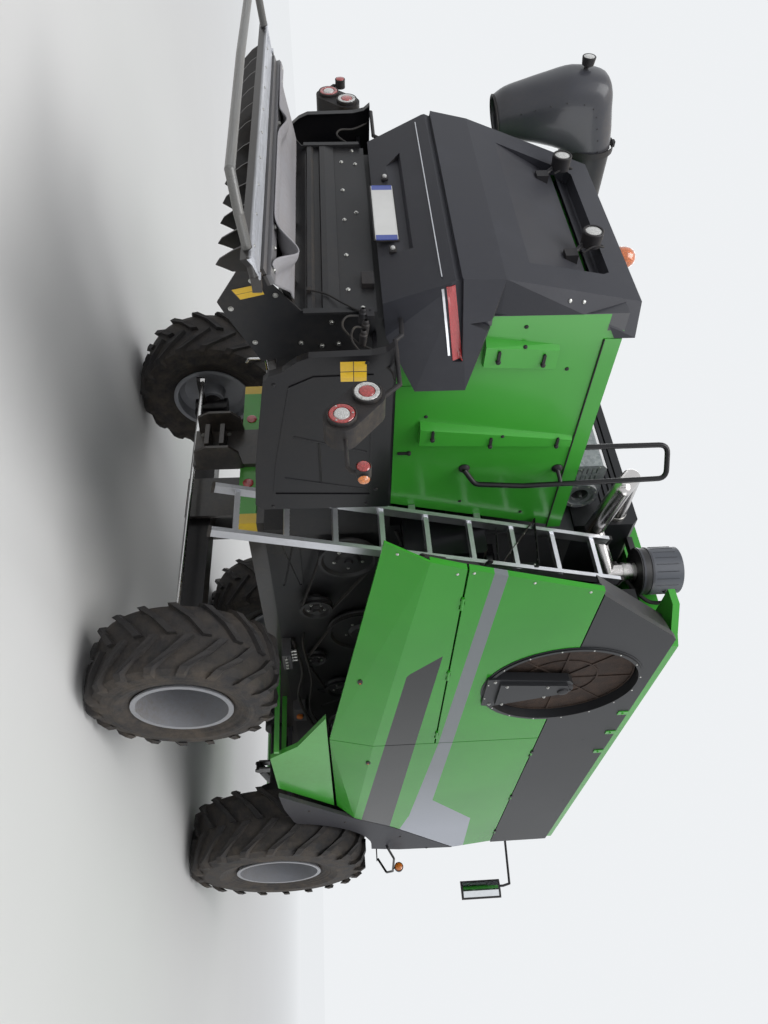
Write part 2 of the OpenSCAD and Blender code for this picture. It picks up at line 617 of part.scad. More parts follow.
// Fuel tank beside the threshing body, behind the ladder, with its straps and filler
module fuel_tank() framed() color(c_black) {
  difference() {
    block([-740, -1000, 2050], [-350, -body_hw, 2570]);
    for (z = [2050, 2570]) translate([0, -1000, z]) rotate([45, 0, 0]) cube([3000, 34, 34], center = true);
  }
  for (x = [-660, -460]) difference() {
    block([x, -1006, 2044], [x + 40, -body_hw, 2576]);
    block([x - 1, -1000, 2050], [x + 41, -body_hw + 1, 2570]);
  }
  rod_z(-545, -930, 2570, 2625, 45);
}

// Cross-section of the grain tank's outside, in Y and Z
tank_out = [[-frame_y, 3100], [-frame_y, tank_top], [1000, tank_top], [1000, 3100], [500, body_z1], [-600, body_z1]];
tank_in = [[-frame_y + tank_t, 3110], [-frame_y + tank_t, tank_top + 10], [1000 - tank_t, tank_top + 10],
  [1000 - tank_t, 3110], [500 - tank_t, body_z1 + tank_t], [-600 + tank_t, body_z1 + tank_t]];
module grain_tank() framed() color(c_green) difference() {
  yz_bar(tank_x0, tank_x1, tank_out);
  yz_bar(tank_x0 + tank_t, tank_x1 - tank_t, tank_in);
}

// Roof over the engine bay and round the tank's mouth
mouth = [[1250, -1250], [3750, 850]];
roof_edge = 45;     // height of the roof's upright edge
roof_top = tank_top + 130;
roof_out = [[-panel_y, tank_top], [-panel_y, tank_top + roof_edge], [-1370, roof_top], [880, roof_top],
  [1000, tank_top + roof_edge], [1000, tank_top]];
module tank_roof() framed() color(c_green) {
  roof_shell();
  roof_hinges();
}
module roof_shell() difference() {
  yz_bar(-540, tank_x1, roof_out);
  block([mouth[0][0], mouth[0][1], tank_top - 1], [mouth[1][0], mouth[1][1], roof_top + 1]);
  // step behind the engine for the air cleaner, and the low ledge beside it with its cut corner
  block([-550, -1200, tank_top - 1], [clean_x + 220, 1001, roof_top + 1]);
  block([-550, -panel_y - 1, tank_top + roof_edge], [clean_x + 220, -1199, roof_top + 1]);
  translate([0, 0, tank_top - 1]) linear_extrude(200)
    polygon([[-545, -panel_y - 1], [-545, -1306], [-381, -1441], [-340, -panel_y - 1]]);
}
module roof_hinges() both_lids() hinge_fixed(lid_xs, lid_z - roof_top + 1);
lid_mid = -200;
lid_z = roof_top + 15;
lid_xs = [1500, 2480, 3460];
// Places its children in the hinge axes of the right and the left lid, Y pointing inwards
module lid_axes(side) translate([0, side < 0 ? mouth[0][1] : mouth[1][1], lid_z]) mirror([0, side < 0 ? 0 : 1, 0])
  children();
module both_lids() for (side = [-1, 1]) lid_axes(side) children();
module tank_lid(side) {
  w = abs(lid_mid - (side < 0 ? mouth[0][1] : mouth[1][1])) - 5;
  lid_axes(side) difference() {
    union() {
      difference() {
        yz_bar(mouth[0][0] + 8, mouth[1][0] - 8, [[6, -10], [w, 30], [w, 55], [6, 15]]);
        hinge_room(lid_xs, 0);
      }
      hinge_moving(lid_xs);
      for (x = lid_xs) block([x, 0, -5], [x + 40, 30, 8]);
    }
    hinge_bore(lid_xs);
  }
}
module tank_lid_right() framed() color(c_green) tank_lid(-1);
module tank_lid_left() framed() color(c_green) tank_lid(1);

// Side panels
// Outlines in X and Z; the lower panels bend in below the line from bend_a over bend_b to bend_c
skin = 6;
bend_a = [-1403, 2112];
bend_b = [split_x, 1846];
bend_c = [2880, 1687];
tuck = 70;          // how far the lower edge stands in
upper_pts = [[-1045, band_z - 8], [-1320, seam_z + door_gap], [split_x - 10, seam_z + door_gap],
  [split_x - 10, band_z - 8]];
lower_pts = [[-1322, seam_z - door_gap], bend_a, [split_x - 10, bend_b[1]], [split_x - 10, seam_z - door_gap]];
front_pts = [[split_x, band_z - 8], [split_x, bend_b[1]], bend_c, [2960, 1760], [3240, 2060], [4105, 2733],
  [3955, band_z - 8]];
skirt_pts = [[690, 1500], [1205, 1263], [1433, 1030], [2141, 1037], [2695, 1505], [split_x, 1500]];
band_pts = [[-1000, band_z], [-475, 3690], [-430, tank_top], [3990, tank_top], [4000, band_z]];
// A pressed panel with a rim all round, and the strip below its bend from a to b, down to c and d
module pressed(pts, d) difference() {
  xz_plate(panel_in, panel_y, pts);
  xz_plate(panel_in - 1, panel_y - skin, inset(pts, d));
}
module tucked(a, b, c, d) convex([for (y = [0, -14]) each [[a[0], panel_y + y, a[1] + 1], [b[0], panel_y + y, b[1] + 1],
  [c[0], panel_y - tuck + y, c[1]], [d[0], panel_y - tuck + y, d[1]]]]);
// Hinge along X through the origin: a knuckle 40 long at each x, between two that hold the pin
module hinge_fixed(xs, base) for (x = xs) {
  for (a = [x - 40 - face_gap, x + 40 + face_gap]) {
    rod_x(a, a + 40, 0, 0, hinge_r);
    if (base > 0) block([a, -hinge_r, -base], [a + 40, hinge_r, 0]);
  }
  rod_x(x - 41, x + 81, 0, 0, hinge_pin_r);
}
module hinge_moving(xs) for (x = xs) rod_x(x, x + 40, 0, 0, hinge_r);
module hinge_bore(xs) for (x = xs) rod_x(x - 1, x + 41, 0, 0, hinge_pin_r + run_gap);
// Room in one side of a hinge for the knuckles of the other: part 0 clears the outer two, 1 the middle
module hinge_room(xs, part) for (x = xs) {
  if (part == 1) rod_x(x - face_gap, x + 40 + face_gap, 0, 0, hinge_r + 6);
  else for (a = [x - 46, x + 40]) rod_x(a, a + 46, 0, 0, hinge_r + 6);
}
// Axes of the panel hinges, and where their knuckles are
module panel_axes(z) translate([0, panel_y + 4, z]) children();
rear_xs = [-1000, -100, 900];
front_xs = [1400, 2500, 3600];
module upper_panel(side) mirror([0, side < 0 ? 1 : 0, 0]) {
  difference() {
    union() {
      pressed(upper_pts, 26);
      if (side < 0) rod_y(screen_x, panel_in, panel_y - 1, screen_z, screen_d / 2 + 75);
    }
    if (side < 0) {
      rod_y(screen_x, panel_in - 5, panel_y + 5, screen_z, screen_d / 2 + 45 + face_gap);
      block([-1000, panel_in - 5, band_z - 8], [1100, panel_y + 5, 3800]);
    }
    panel_axes(seam_z) hinge_room(rear_xs, 1);
  }
  panel_axes(seam_z) hinge_fixed(rear_xs, 0);
}
module upper_panels() framed() color(c_green) {
  upper_panel(-1);
  upper_panel(1);
}
module lower_door(side) mirror([0, side < 0 ? 1 : 0, 0]) difference() {
  union() {
    difference() {
      pressed(lower_pts, 26);
      panel_axes(seam_z) hinge_room(rear_xs, 0);
    }
    tucked(bend_a, [split_x - 10, bend_b[1]], [split_x - 10, 1515], [-1497, 1876]);
    panel_axes(seam_z) hinge_moving(rear_xs);
  }
  panel_axes(seam_z) hinge_bore(rear_xs);
}
module right_lower_door() framed() color(c_green) lower_door(-1);
module left_lower_door() framed() color(c_green) lower_door(1);
module front_door(side) mirror([0, side < 0 ? 1 : 0, 0]) difference() {
  union() {
    difference() {
      pressed(front_pts, 26);
      panel_axes(band_z - 4) hinge_room(front_xs, 0);
    }
    tucked(bend_b, bend_c, [2708, 1531], [split_x, 1515]);
    panel_axes(band_z - 4) hinge_moving(front_xs);
  }
  panel_axes(band_z - 4) hinge_bore(front_xs);
}
module right_front_door() framed() color(c_green) front_door(-1);
module left_front_door() framed() color(c_green) front_door(1);

module side_band() framed() color(c_dark) mirror([0, 1, 0]) {
  difference() {
    union() {
      xz_plate(panel_in, panel_y, band_pts);
      // slanted return at the rear end
      convex([for (x = [0, 22]) each [[-999 + x, panel_y - 1, band_z], [-476 + x, panel_y - 1, 3690],
        [-406 + x, 1300, 3690], [-905 + x, 1300, band_z + 20]]]);
    }
    rod_y(screen_x, panel_in - 5, panel_y + 5, screen_z, screen_d / 2 + 45 + face_gap);
    panel_axes(band_z - 4) hinge_room(front_xs, 1);
  }
  panel_axes(band_z - 4) hinge_fixed(front_xs, 0);
}
module left_deck() framed() color(c_dark) {
  difference() {
    block([-1040, 1000, band_z - 3], [3955, panel_y, band_z + 17]);
    rod_z(turret_x, turret_y, band_z - 10, band_z + 20, 200);
    panel_axes(band_z - 4) hinge_room(front_xs, 1);
  }
  panel_axes(band_z - 4) hinge_fixed(front_xs, 0);
  // cradle under the unloading tube
  block([-920, turret_y - 120, band_z + 17], [-880, turret_y + 120, auger_z - auger_r - 0.5]);
}

module skirts() framed() color(c_green) both() {
  difference() {
    xz_plate(panel_in - tuck, panel_y - tuck, skirt_pts);
    xz_plate(panel_in - tuck - 1, panel_y - tuck - skin, inset(skirt_pts, 26));
  }
  for (x = [1300, 2000]) block([x, rail_hw, rail_z0 + 30], [x + 40, panel_y - tuck - skin + 1, rail_z0 + 70]);
}
// Points of the wheel arch over the front tyre
arch_r = front_r + 63;
arch = [for (a = [165 : -9 : 84]) [wheelbase + arch_r * cos(a), front_r + arch_r * sin(a)]];
arch_skin = [for (a = [165 : -9 : 84]) [wheelbase + (arch_r + 8) * cos(a), front_r + (arch_r + 8) * sin(a)]];
module fenders() framed() color(c_dark) both() {
  xz_plate(panel_in, panel_y, concat([[2150, 1040], [2520, 1060], [2900, 1120]], arch, [[4085, 2150], [4118, 2725],
    [3250, 2050], [2972, 1755], [2720, 1525]]));
  // liner over the tyre
  xz_plate(body_hw + 60, panel_in + 1, concat(arch, reversed(arch_skin)));
  block([3880, body_hw, 1990], [3920, panel_in + 1, 2020]);
  block([3890, body_hw + 60, 1870], [3910, body_hw + 100, 1991]);
  block([2700, rail_hw, rail_z0 + 30], [2740, panel_in + 1, rail_z0 + 70]);
}
arm_pts = [[screen_x - 115, screen_z + 30], [screen_x - 75, screen_z + 62], [screen_x + 35, screen_z + 62],
  [screen_x + 70, screen_z + 20], [screen_x + 232, screen_z - 450], [screen_x + 215, screen_z - screen_d / 2 - 22],
  [screen_x - 182, screen_z - screen_d / 2 - 22], [screen_x - 182, screen_z - 440]];
module screen_frame() framed() color(c_dark) mirror([0, 1, 0]) {
  rotate_ring(screen_x, screen_z, screen_d / 2 + 8, screen_d / 2 + 45, frame_y + 2, panel_y + 4);
  rotate_ring(screen_x, screen_z, screen_d / 2 + 8, screen_d / 2 + 30, panel_y + 3, panel_y + 12);
  // suction arm from the hub to the lower edge, with its chamfered mouth
  intersection() {
    xz_plate(panel_y - 35, panel_y + 1, arm_pts);
    rod_y(screen_x, panel_y - 36, panel_y + 2, screen_z, screen_d / 2 + 45);
  }
  xz_plate(panel_y + 0.5, panel_y + 22, arm_pts);
  xz_plate(panel_y + 21, panel_y + 44, [[screen_x - 85, screen_z + 20], [screen_x + 30, screen_z + 35],
    [screen_x + 175, screen_z - 440], [screen_x - 140, screen_z - 440]]);
}
module rotate_ring(x, z, r0, r1, y0, y1) difference() {
  rod_y(x, y0, y1, z, r1);
  rod_y(x, y0 - 1, y1 + 1, z, r0);
}
module dust_screen() framed() color("#3A2E26") difference() {
  union() {
    rod_y(screen_x, -screen_y, -frame_y - 4, screen_z, screen_d / 2);
    // spokes and rings that stiffen the mesh
    for (a = [0 : 45 : 135]) translate([screen_x, 0, screen_z]) rotate([0, a, 0])
      block([-screen_d / 2 + 10, -screen_y - 8, -6], [screen_d / 2 - 10, -screen_y + 1, 6]);
    for (r = [60, 250, screen_d / 2 - 12]) rotate_ring(screen_x, screen_z, r, r + 12, -screen_y - 8, -screen_y + 1);
  }
  rod_y(screen_x, -panel_y - 60, -panel_y + 90, screen_z, 25 + run_gap);
}
// Ladder and hand rail
lad_a = [-1233, 930];
lad_b = [-540, 3430];
lad_y = -965;
module ladder() framed() color(c_silver) {
  d = lad_b - lad_a;
  n = norm(d);
  translate([lad_a[0], lad_y, lad_a[1]]) rotate([0, atan2(d[0], d[1]), 0]) difference() {
    union() {
      for (y = [-ladder_w / 2, ladder_w / 2 - 26]) block([-32, y, 0], [32, y + 26, n]);
      for (i = [0 : ladder_rungs - 1]) translate([0, 0, (i + 0.5) * n / ladder_rungs])
        block([-17, 1 - ladder_w / 2, -15], [17, ladder_w / 2 - 1, 15]);
    }
    // the rungs are open tubes
    for (i = [0 : ladder_rungs - 1]) translate([0, 0, (i + 0.5) * n / ladder_rungs])
      block([-12, -ladder_w / 2 - 1, -10], [12, ladder_w / 2 + 1, 10]);
  }
  for (z = [2080, 2500]) let (x = lad_a[0] + d[0] * (z - lad_a[1]) / d[1])
    block([x - 20, lad_y + ladder_w / 2 - 20, z], [x + 20, -hood_hw - (z < 2082 ? 4 : 0), z + 40]);
}
module hand_rail() framed() color(c_black) {
  tube_run([[-1262, -hood_hw - 20, 2395], [-1203, -828, 2450], [-1178, -832, 2740], [-1202, -830, 3540],
    [-1279, -762, 3610], [-1356, -700, 3540], [-1356, -700, hood_top + 8]], 16);
  bar([-1236, -hood_hw - 14, 2955], [-1185, -831, 2970], 13);
  // round feet
  for (f = [[-1262, 2395], [-1236, 2955]]) rod_y(f[0], -hood_hw - 26, -hood_hw, f[1], 34);
  rod_z(-1356, -700, hood_top, hood_top + 12, 34);
}
// Cab
door_x0 = cab_x0 + 260;
door_x1 = cab_x1 - 350;
door_zs = [2300, 3200];
module cab_platform() framed() color(c_dark) {
  block([cab_x0, -cab_hw, 1880], [cab_x1, cab_hw, cab_z0]);
  block([cab_x0, cab_hw, 1900], [cab_x1, 1480, 1930]);
  for (x = [cab_x0 + 10, door_x0 - 40]) rod_z(x + 16, 1460, 1930, 2900, 16);
  rod_x(cab_x0 + 26, door_x0 - 24, 1460, 2900, 16);
  // steps down from the left edge
  for (x = [4980, 5460]) block([x, 1440, 500], [x + 20, 1480, 1900]);
  for (z = [520, 800, 1080, 1360, 1640]) block([5000, 1440, z], [5460, 1480, z + 25]);
}
module cab_frame() framed() color(c_dark) {
  cab_shell();
  // ears and pins of the door
  for (z = door_zs) {
    for (a = [z - 25, z + 60 + face_gap]) {
      block([door_x0 - 24, cab_hw, a], [door_x0, cab_hw + 28, a + 25 - face_gap]);
      rod_z(door_x0, cab_hw + 16, a, a + 25 - face_gap, 12);
    }
    rod_z(door_x0, cab_hw + 16, z - 5, z + 65, 6);
  }
}
// Side views of the cab's outside and inside, and of its roof
rake = 90;          // how far the windshield leans forward
cab_out = [[cab_x0, cab_z0], [cab_x1 - 60, cab_z0], [cab_x1, cab_z0 + 190], [cab_x1 + rake, cab_roof_z],
  [cab_x0, cab_roof_z]];
cab_in = [[cab_x0 + cab_t, cab_z0 + cab_t], [cab_x1 - 95, cab_z0 + cab_t], [cab_x1 - cab_t, cab_z0 + 200],
  [cab_x1 + rake - cab_t, cab_roof_z], [cab_x0 + cab_t, cab_roof_z]];
cab_roof = [[cab_x0 - 30, cab_roof_z], [cab_x1 + rake + 60, cab_roof_z], [cab_x1 + rake + 130, cab_roof_z + 60],
  [cab_x1 + rake + 90, cab_roof_z + 170], [cab_x1 - 200, cab_roof_z + 220], [cab_x0 + 60, cab_roof_z + 220],
  [cab_x0 - 30, cab_roof_z + 150]];
module cab_shell() difference() {
  union() {
    xz_plate(-cab_hw, cab_hw, cab_out);
    intersection() {
      xz_plate(-cab_hw, cab_hw, cab_roof);
      yz_bar(cab_x0 - 40, cab_x1 + rake + 140, [[-cab_hw, cab_roof_z], [-cab_hw, cab_roof_z + 110],
        [-cab_hw + 110, cab_roof_z + 221], [cab_hw - 110, cab_roof_z + 221], [cab_hw, cab_roof_z + 110],
        [cab_hw, cab_roof_z]]);
    }
  }
  xz_plate(-cab_hw + cab_t, cab_hw - cab_t, cab_in);
  // windshield, right window, rear window, doorway
  xz_plate(-cab_hw + 70, cab_hw - 70, [[cab_x1 - 120, 2190], [cab_x1 + 150, 2190], [cab_x1 + 210, 3510],
    [cab_x1 - 30, 3510]]);
  xz_plate(-cab_hw - 1, -cab_hw + cab_t + 1, [[cab_x0 + 110, 2300], [cab_x1 - 100, 2180], [cab_x1 - 15, 3500],
    [cab_x0 + 110, 3500]]);
  block([cab_x0 - 1, -cab_hw + 180, 2750], [cab_x0 + cab_t + 1, cab_hw - 180, 3450]);
  block([door_x0, cab_hw - cab_t - 1, 2010], [door_x1, cab_hw + 1, 3520]);
  // slots of the air intake in the roof's rear, and seats of the lamps in its front
  for (z = [30 : 26 : 108]) block([cab_x0 - 31, -500, cab_roof_z + z], [cab_x0 - 16, 500, cab_roof_z + z + 10]);
  for (y = [-620, -380, 380, 620])
    rod_x(cab_x1 + rake + 70, cab_x1 + rake + 140, y, cab_roof_z + 95, 62);
}
module cab_glass() framed() color(c_glass) {
  xz_plate(-cab_hw + 70, cab_hw - 70, [[cab_x1 - 30, 2190], [cab_x1 - 22, 2190], [cab_x1 + 64, 3510],
    [cab_x1 + 56, 3510]]);
  xz_plate(-cab_hw + 20, -cab_hw + 26, [[cab_x0 + 110, 2300], [cab_x1 - 100, 2180], [cab_x1 - 15, 3500],
    [cab_x0 + 110, 3500]]);
  block([cab_x0 + 20, -cab_hw + 180, 2750], [cab_x0 + 26, cab_hw - 180, 3450]);
}
module cab_door() framed() color(c_dark) difference() {
  union() {
    block([door_x0 + 6, cab_hw - 42, 2018], [door_x1 - 12, cab_hw, 3512]);
    for (z = door_zs) {
      rod_z(door_x0, cab_hw + 16, z, z + 60, 12);
      block([door_x0, cab_hw + 6, z], [door_x0 + 60, cab_hw + 16, z + 60]);
      block([door_x0 + 30, cab_hw, z], [door_x0 + 60, cab_hw + 16, z + 60]);
    }
  }
  block([door_x0 + 60, cab_hw - 43, 2160], [door_x1 - 60, cab_hw + 1, 3460]);
  for (z = door_zs) rod_z(door_x0, cab_hw + 16, z - 1, z + 61, 6 + run_gap);
}
module cab_door_glass() framed() color(c_glass)
  block([door_x0 + 60, cab_hw - 26, 2160], [door_x1 - 60, cab_hw - 20, 3460]);
// Driver's seat on its box, with side bolsters and arm rests
module cab_seat() {
  block([4500, -200, cab_z0 + cab_t], [4880, 200, cab_z0 + cab_t + 340]);
  block([4450, -250, cab_z0 + cab_t + 340], [4960, 250, cab_z0 + cab_t + 480]);
  both() xz_plate(180, 250, [[4500, 2470], [4940, 2470], [4900, 2515], [4560, 2515]]);
  xz_plate(-240, 240, [[4460, 2470], [4570, 2470], [4500, 3080], [4470, 3130], [4420, 3130], [4400, 3060]]);
  both() {
    block([4500, 260, 2640], [4860, 330, 2690]);
    block([4500, 249, 2500], [4560, 300, 2641]);
  }
}
module cab_interior() framed() color("#33363A") {
  cab_seat();
  cab_controls();
}
module cab_controls() {
  // side console and lever
  block([4620, -640, cab_z0 + cab_t], [5000, -420, 2600]);
  bar([4900, -500, 2590], [4960, -500, 2740], 18);
  block([5280, -80, cab_z0 + cab_t], [5420, 80, cab_z0 + cab_t + 20]);
  bar([5348, 0, cab_z0 + cab_t + 15], [5196, 0, 2775], 45);
  translate([5190, 0, 2770]) rotate([0, -12, 0]) rotate_extrude() translate([190, 0]) circle(r = 14);
  translate([5190, 0, 2770]) rotate([0, -12, 0]) for (a = [0, 120, 240]) rotate([0, 0, a]) rod_x(0, 185, 0, 0, 9);
}
module mirrors() framed() color(c_black) both() {
  block([cab_x1 - 60, cab_hw, 3570], [cab_x1 + 10, cab_hw + 12, 3630]);
  tube_run([[cab_x1 - 25, cab_hw + 6, 3600], [cab_x1 - 60, 1590, 3560], [cab_x1 - 60, 1610, 3480],
    [cab_x1 - 60, 1610, 3020]], 14);
  // curved backs of the mirrors
  intersection() {
    rod_z(cab_x1 + 140, 1635, 2960, 3440, 220);
    block([cab_x1 - 100, 1530, 2960], [cab_x1 - 40, front_y + front_tyre_w / 2 - 2, 3440]);
  }
}
// Unloading auger
module unload_turret() framed() color(c_dark) difference() {
  union() {
    rod_z(turret_x, turret_y, 2600, auger_z - auger_r - 40, 180);
    rod_z(turret_x, turret_y, auger_z - auger_r - 60, auger_z - auger_r - 40, 195);
    rod_y(turret_x, 560, turret_y, 2760, 140);
  }
  yz_bar(tank_x0, tank_x1, tank_out);
}
module unload_tube() framed() color(c_dark) {
  rod_z(turret_x, turret_y, auger_z - auger_r - 40 + face_gap, auger_z, 180);
  translate([turret_x, turret_y, auger_z]) sphere(r = 180);
  rod_x(turret_x - auger_len, turret_x, turret_y, auger_z, auger_r);
  // clamp rings of the tube's joints
  for (x = [-1250, 1100, 2900]) rod_x(x, x + 30, turret_y, auger_z, auger_r + 14);
}
// Outer side view of the spout, and the same drawn in for its hollow
spout_end = turret_x - auger_len;
spout_pts = [[spout_end, auger_z - 165], [spout_end, auger_z + 150], [spout_end - 90, auger_z + 150],
  [spout_end - 435, auger_z + 69], [spout_end - 495, auger_z - 178], [spout_end - 379, 2784], [spout_end - 302, 2705],
  [spout_end - 85, 2734], [spout_end - 64, 2972], [spout_end - 20, auger_z - 190]];
module unload_spout() framed() color(c_black) {
  difference() {
    xz_plate(turret_y - 175, turret_y + 175, spout_pts);
    // hollow down to the mouth
    difference() {
      xz_plate(turret_y - 160, turret_y + 160, inset(spout_pts, 14));
      xz_plate(turret_y - 170, turret_y + 170, [[spout_end + 5, auger_z - 175], [spout_end + 5, auger_z + 175],
        [spout_end - 12, auger_z + 175], [spout_end - 12, auger_z - 175]]);
    }
    xz_plate(turret_y - 160, turret_y + 160, [[spout_end - 365, 2800], [spout_end - 303, 2690],
      [spout_end - 98, 2690], [spout_end - 80, 2800]]);
  }
  // lamp under the elbow
  rod_x(spout_end - 560, spout_end - 470, turret_y, auger_z - 95, 42);
}
// Feeder house and its lift
module feeder_axes() translate([feeder_x, 0, feeder_z]) rotate([0, feeder_slope, 0]) children();
module feeder_house() framed() color(c_green) feeder_axes() difference() {
  union() {
    difference() {
      union() {
        rod_y(0, -feeder_hw, feeder_hw, 0, feeder_hh);
        block([0, -feeder_hw, -feeder_hh], [feeder_len, feeder_hw, feeder_hh]);
        // stiffening channels across the top and the sides
        for (u = [480, 1050, 1560]) block([u, -feeder_hw - 14, -feeder_hh + 30], [u + 60, feeder_hw + 14, feeder_hh + 24]);
        block([feeder_len, -720, -head_hh], [feeder_len + head_t, 720, head_hh]);
      }
      block([320, -560, -200], [feeder_len + head_t + 1, 560, 200]);
    }
    // front drum and the slatted chain in the upper half of the tunnel
    rod_y(feeder_len - 110, -561, 561, 95, 62);
    for (y = [-400, 0, 400], w = [20, 158]) block([321, y - 12, w], [feeder_len - 110, y + 12, w + 12]);
    for (u = [380 : 180 : feeder_len - 160]) block([u, -540, -4], [u + 14, 540, 21]);
    // hooks over the header's beam, and the lock pins below
    both() {
      xz_plate(600, 640, [[feeder_len, head_hh - 1], [feeder_len + head_t, head_hh - 1], [feeder_len + 30, 380],
        [feeder_len, 380]]);
      for (y = [lift_y - 50, lift_y + 30]) {
        block([lift_u - 60, y, lift_w], [lift_u + 60, y + 20, -feeder_hh]);
        rod_y(lift_u, y, y + 20, lift_w, 60);
      }
      rod_y(lift_u, lift_y - 40, lift_y + 40, lift_w, 20);
    }
  }
  both() rod_y(0, feeder_hw - 31, feeder_hw + 1, 0, 30 + run_gap);
}
module lift_axes() translate([lift_x, 0, lift_z]) rotate([0, -lift_tilt, 0]) children();
module lift_barrels() framed() color(c_black) both() lift_axes() difference() {
  union() {
    rod_y(0, lift_y - 30 + face_gap, lift_y + 30 - face_gap, 0, 40);
    rod_x(30, 90, lift_y, 0, 25);
    rod_x(70, 600, lift_y, 0, 50);
  }
  rod_x(95, 601, lift_y, 0, 40);
  rod_y(0, lift_y - 31, lift_y + 31, 0, 20 + run_gap);
}
module lift_rods() framed() color(c_steel) both() lift_axes() difference() {
  union() {
    rod_x(lift_len - 600, lift_len - 30, lift_y, 0, 28);
    rod_x(lift_len - 600, lift_len - 570, lift_y, 0, 40 - run_gap);
    rod_y(lift_len, lift_y - 30 + face_gap, lift_y + 30 - face_gap, 0, 42);
  }
  rod_y(lift_len, lift_y - 31, lift_y + 31, 0, 25);
}

chassis_frame();
front_axle();
rear_axle();
threshing_body();
side_frame();
straw_hood();
rear_hood();
chopper_housing();
side_covers();
rear_lamps();
ladder();
hand_rail();
engine();
cooler();
engine_cowl();
air_intake();
exhaust_box();
fuel_tank();
grain_tank();
tank_roof();
side_band();
upper_panels();
skirts();
fenders();
screen_frame();
left_deck();
unload_turret();
cab_platform();
cab_frame();
cab_glass();
cab_interior();
mirrors();
tailboard();
rubber_flap();
rear_cable();
right_lower_door();
right_front_door();
left_lower_door();
left_front_door();
dust_screen();
tank_lid_right();
tank_lid_left();
unload_tube();
unload_spout();
cab_door();
cab_door_glass();
feeder_house();
lift_barrels();
lift_rods();
front_right_rim();
front_right_tyre();
front_left_rim();
front_left_tyre();
rear_right_rim();
rear_right_tyre();
rear_left_rim();
rear_left_tyre();
right_knuckle();
left_knuckle();
tie_rod();
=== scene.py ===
import bpy, bmesh, math
from mathutils import Matrix, Vector
from mathutils.bvhtree import BVHTree


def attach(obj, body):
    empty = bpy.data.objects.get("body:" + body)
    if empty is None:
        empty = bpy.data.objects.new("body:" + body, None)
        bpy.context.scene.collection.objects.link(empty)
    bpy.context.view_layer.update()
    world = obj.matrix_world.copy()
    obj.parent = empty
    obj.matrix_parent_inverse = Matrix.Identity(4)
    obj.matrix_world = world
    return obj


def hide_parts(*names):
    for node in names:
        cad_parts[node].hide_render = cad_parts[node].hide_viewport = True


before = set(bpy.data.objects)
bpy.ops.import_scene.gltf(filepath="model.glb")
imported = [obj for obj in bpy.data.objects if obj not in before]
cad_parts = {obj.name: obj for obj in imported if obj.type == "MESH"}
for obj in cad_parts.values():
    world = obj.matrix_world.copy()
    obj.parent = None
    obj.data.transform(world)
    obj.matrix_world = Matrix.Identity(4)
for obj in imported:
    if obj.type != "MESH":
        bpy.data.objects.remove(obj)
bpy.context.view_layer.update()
scene = bpy.context.scene
BODY = "harvester_body"
SIDES = ((-1, "right"), (1, "left"))
UP, FORWARD, BACK, RIGHT, LEFT = (0, 0, 1), (1, 0, 0), (-1, 0, 0), (0, -1, 0), (0, 1, 0)
TAU = 2 * math.pi
XM = 1.479867       # metres from the rear axle to the frame's middle


def P(x, y, z):
    """A point given in millimetres with x from the rear axle, in the frame's metres."""
    return Vector((x / 1000 - XM, y / 1000, z / 1000))


def V(x, y, z):
    """A step given in millimetres."""
    return Vector((x / 1000, y / 1000, z / 1000))


def placed(name, data):
    """A new object in the scene."""
    ob = bpy.data.objects.new(name, data)
    scene.collection.objects.link(ob)
    return ob


# Camera, at the photograph's viewing angle
YAW, PITCH, ROLL = math.radians(37.48), math.radians(3.17), math.radians(-2.03)
FOCAL, LONG_SIDE, SENSOR = 785.45, 1024.0, 36.0     # focal length and picture in pixels, sensor in mm
ahead = Vector((math.cos(PITCH) * math.cos(YAW), math.cos(PITCH) * math.sin(YAW), math.sin(PITCH)))
right = ahead.cross(Vector(UP)).normalized()
over = right.cross(ahead)
right, over = right * math.cos(ROLL) + over * math.sin(ROLL), over * math.cos(ROLL) - right * math.sin(ROLL)
cam = placed("camera", bpy.data.cameras.new("camera"))
cam.data.sensor_width = SENSOR
cam.data.lens = FOCAL * SENSOR / LONG_SIDE
cam.data.clip_end = 200.0
turned = Matrix((over, -right, -ahead)).transposed().to_4x4()     # the photo lies on its side
turned.translation = P(-4756, -3734, 1660)
cam.matrix_world = turned
scene.camera = cam


# Materials
def put(tree, socket, v):
    """Links a socket or sets its value."""
    if isinstance(v, bpy.types.NodeSocket):
        tree.links.new(v, socket)
    elif isinstance(v, (tuple, list)) and len(v) == 3 and socket.type == "RGBA":
        socket.default_value = (*v, 1.0)
    else:
        socket.default_value = v


def add(tree, kind, props=(), **ins):
    """A node with its properties and inputs; i0, i1 and so on name an input by its number."""
    node = tree.nodes.new(kind)
    for k, v in dict(props).items():
        setattr(node, k, v)
    for k, v in ins.items():
        numbered = k[0] == "i" and k[1:].isdigit()
        put(tree, node.inputs[int(k[1:])] if numbered else node.inputs[k.replace("_", " ")], v)
    return node


def backdrop_rays(tree):
    """1 for the rays that show the pale background: camera, glossy and transmission rays."""
    rays = add(tree, "ShaderNodeLightPath").outputs
    most = {"operation": "MAXIMUM"}
    two = add(tree, "ShaderNodeMath", most, i0=rays["Is Camera Ray"], i1=rays["Is Glossy Ray"]).outputs[0]
    return add(tree, "ShaderNodeMath", most, i0=two, i1=rays["Is Transmission Ray"]).outputs[0]


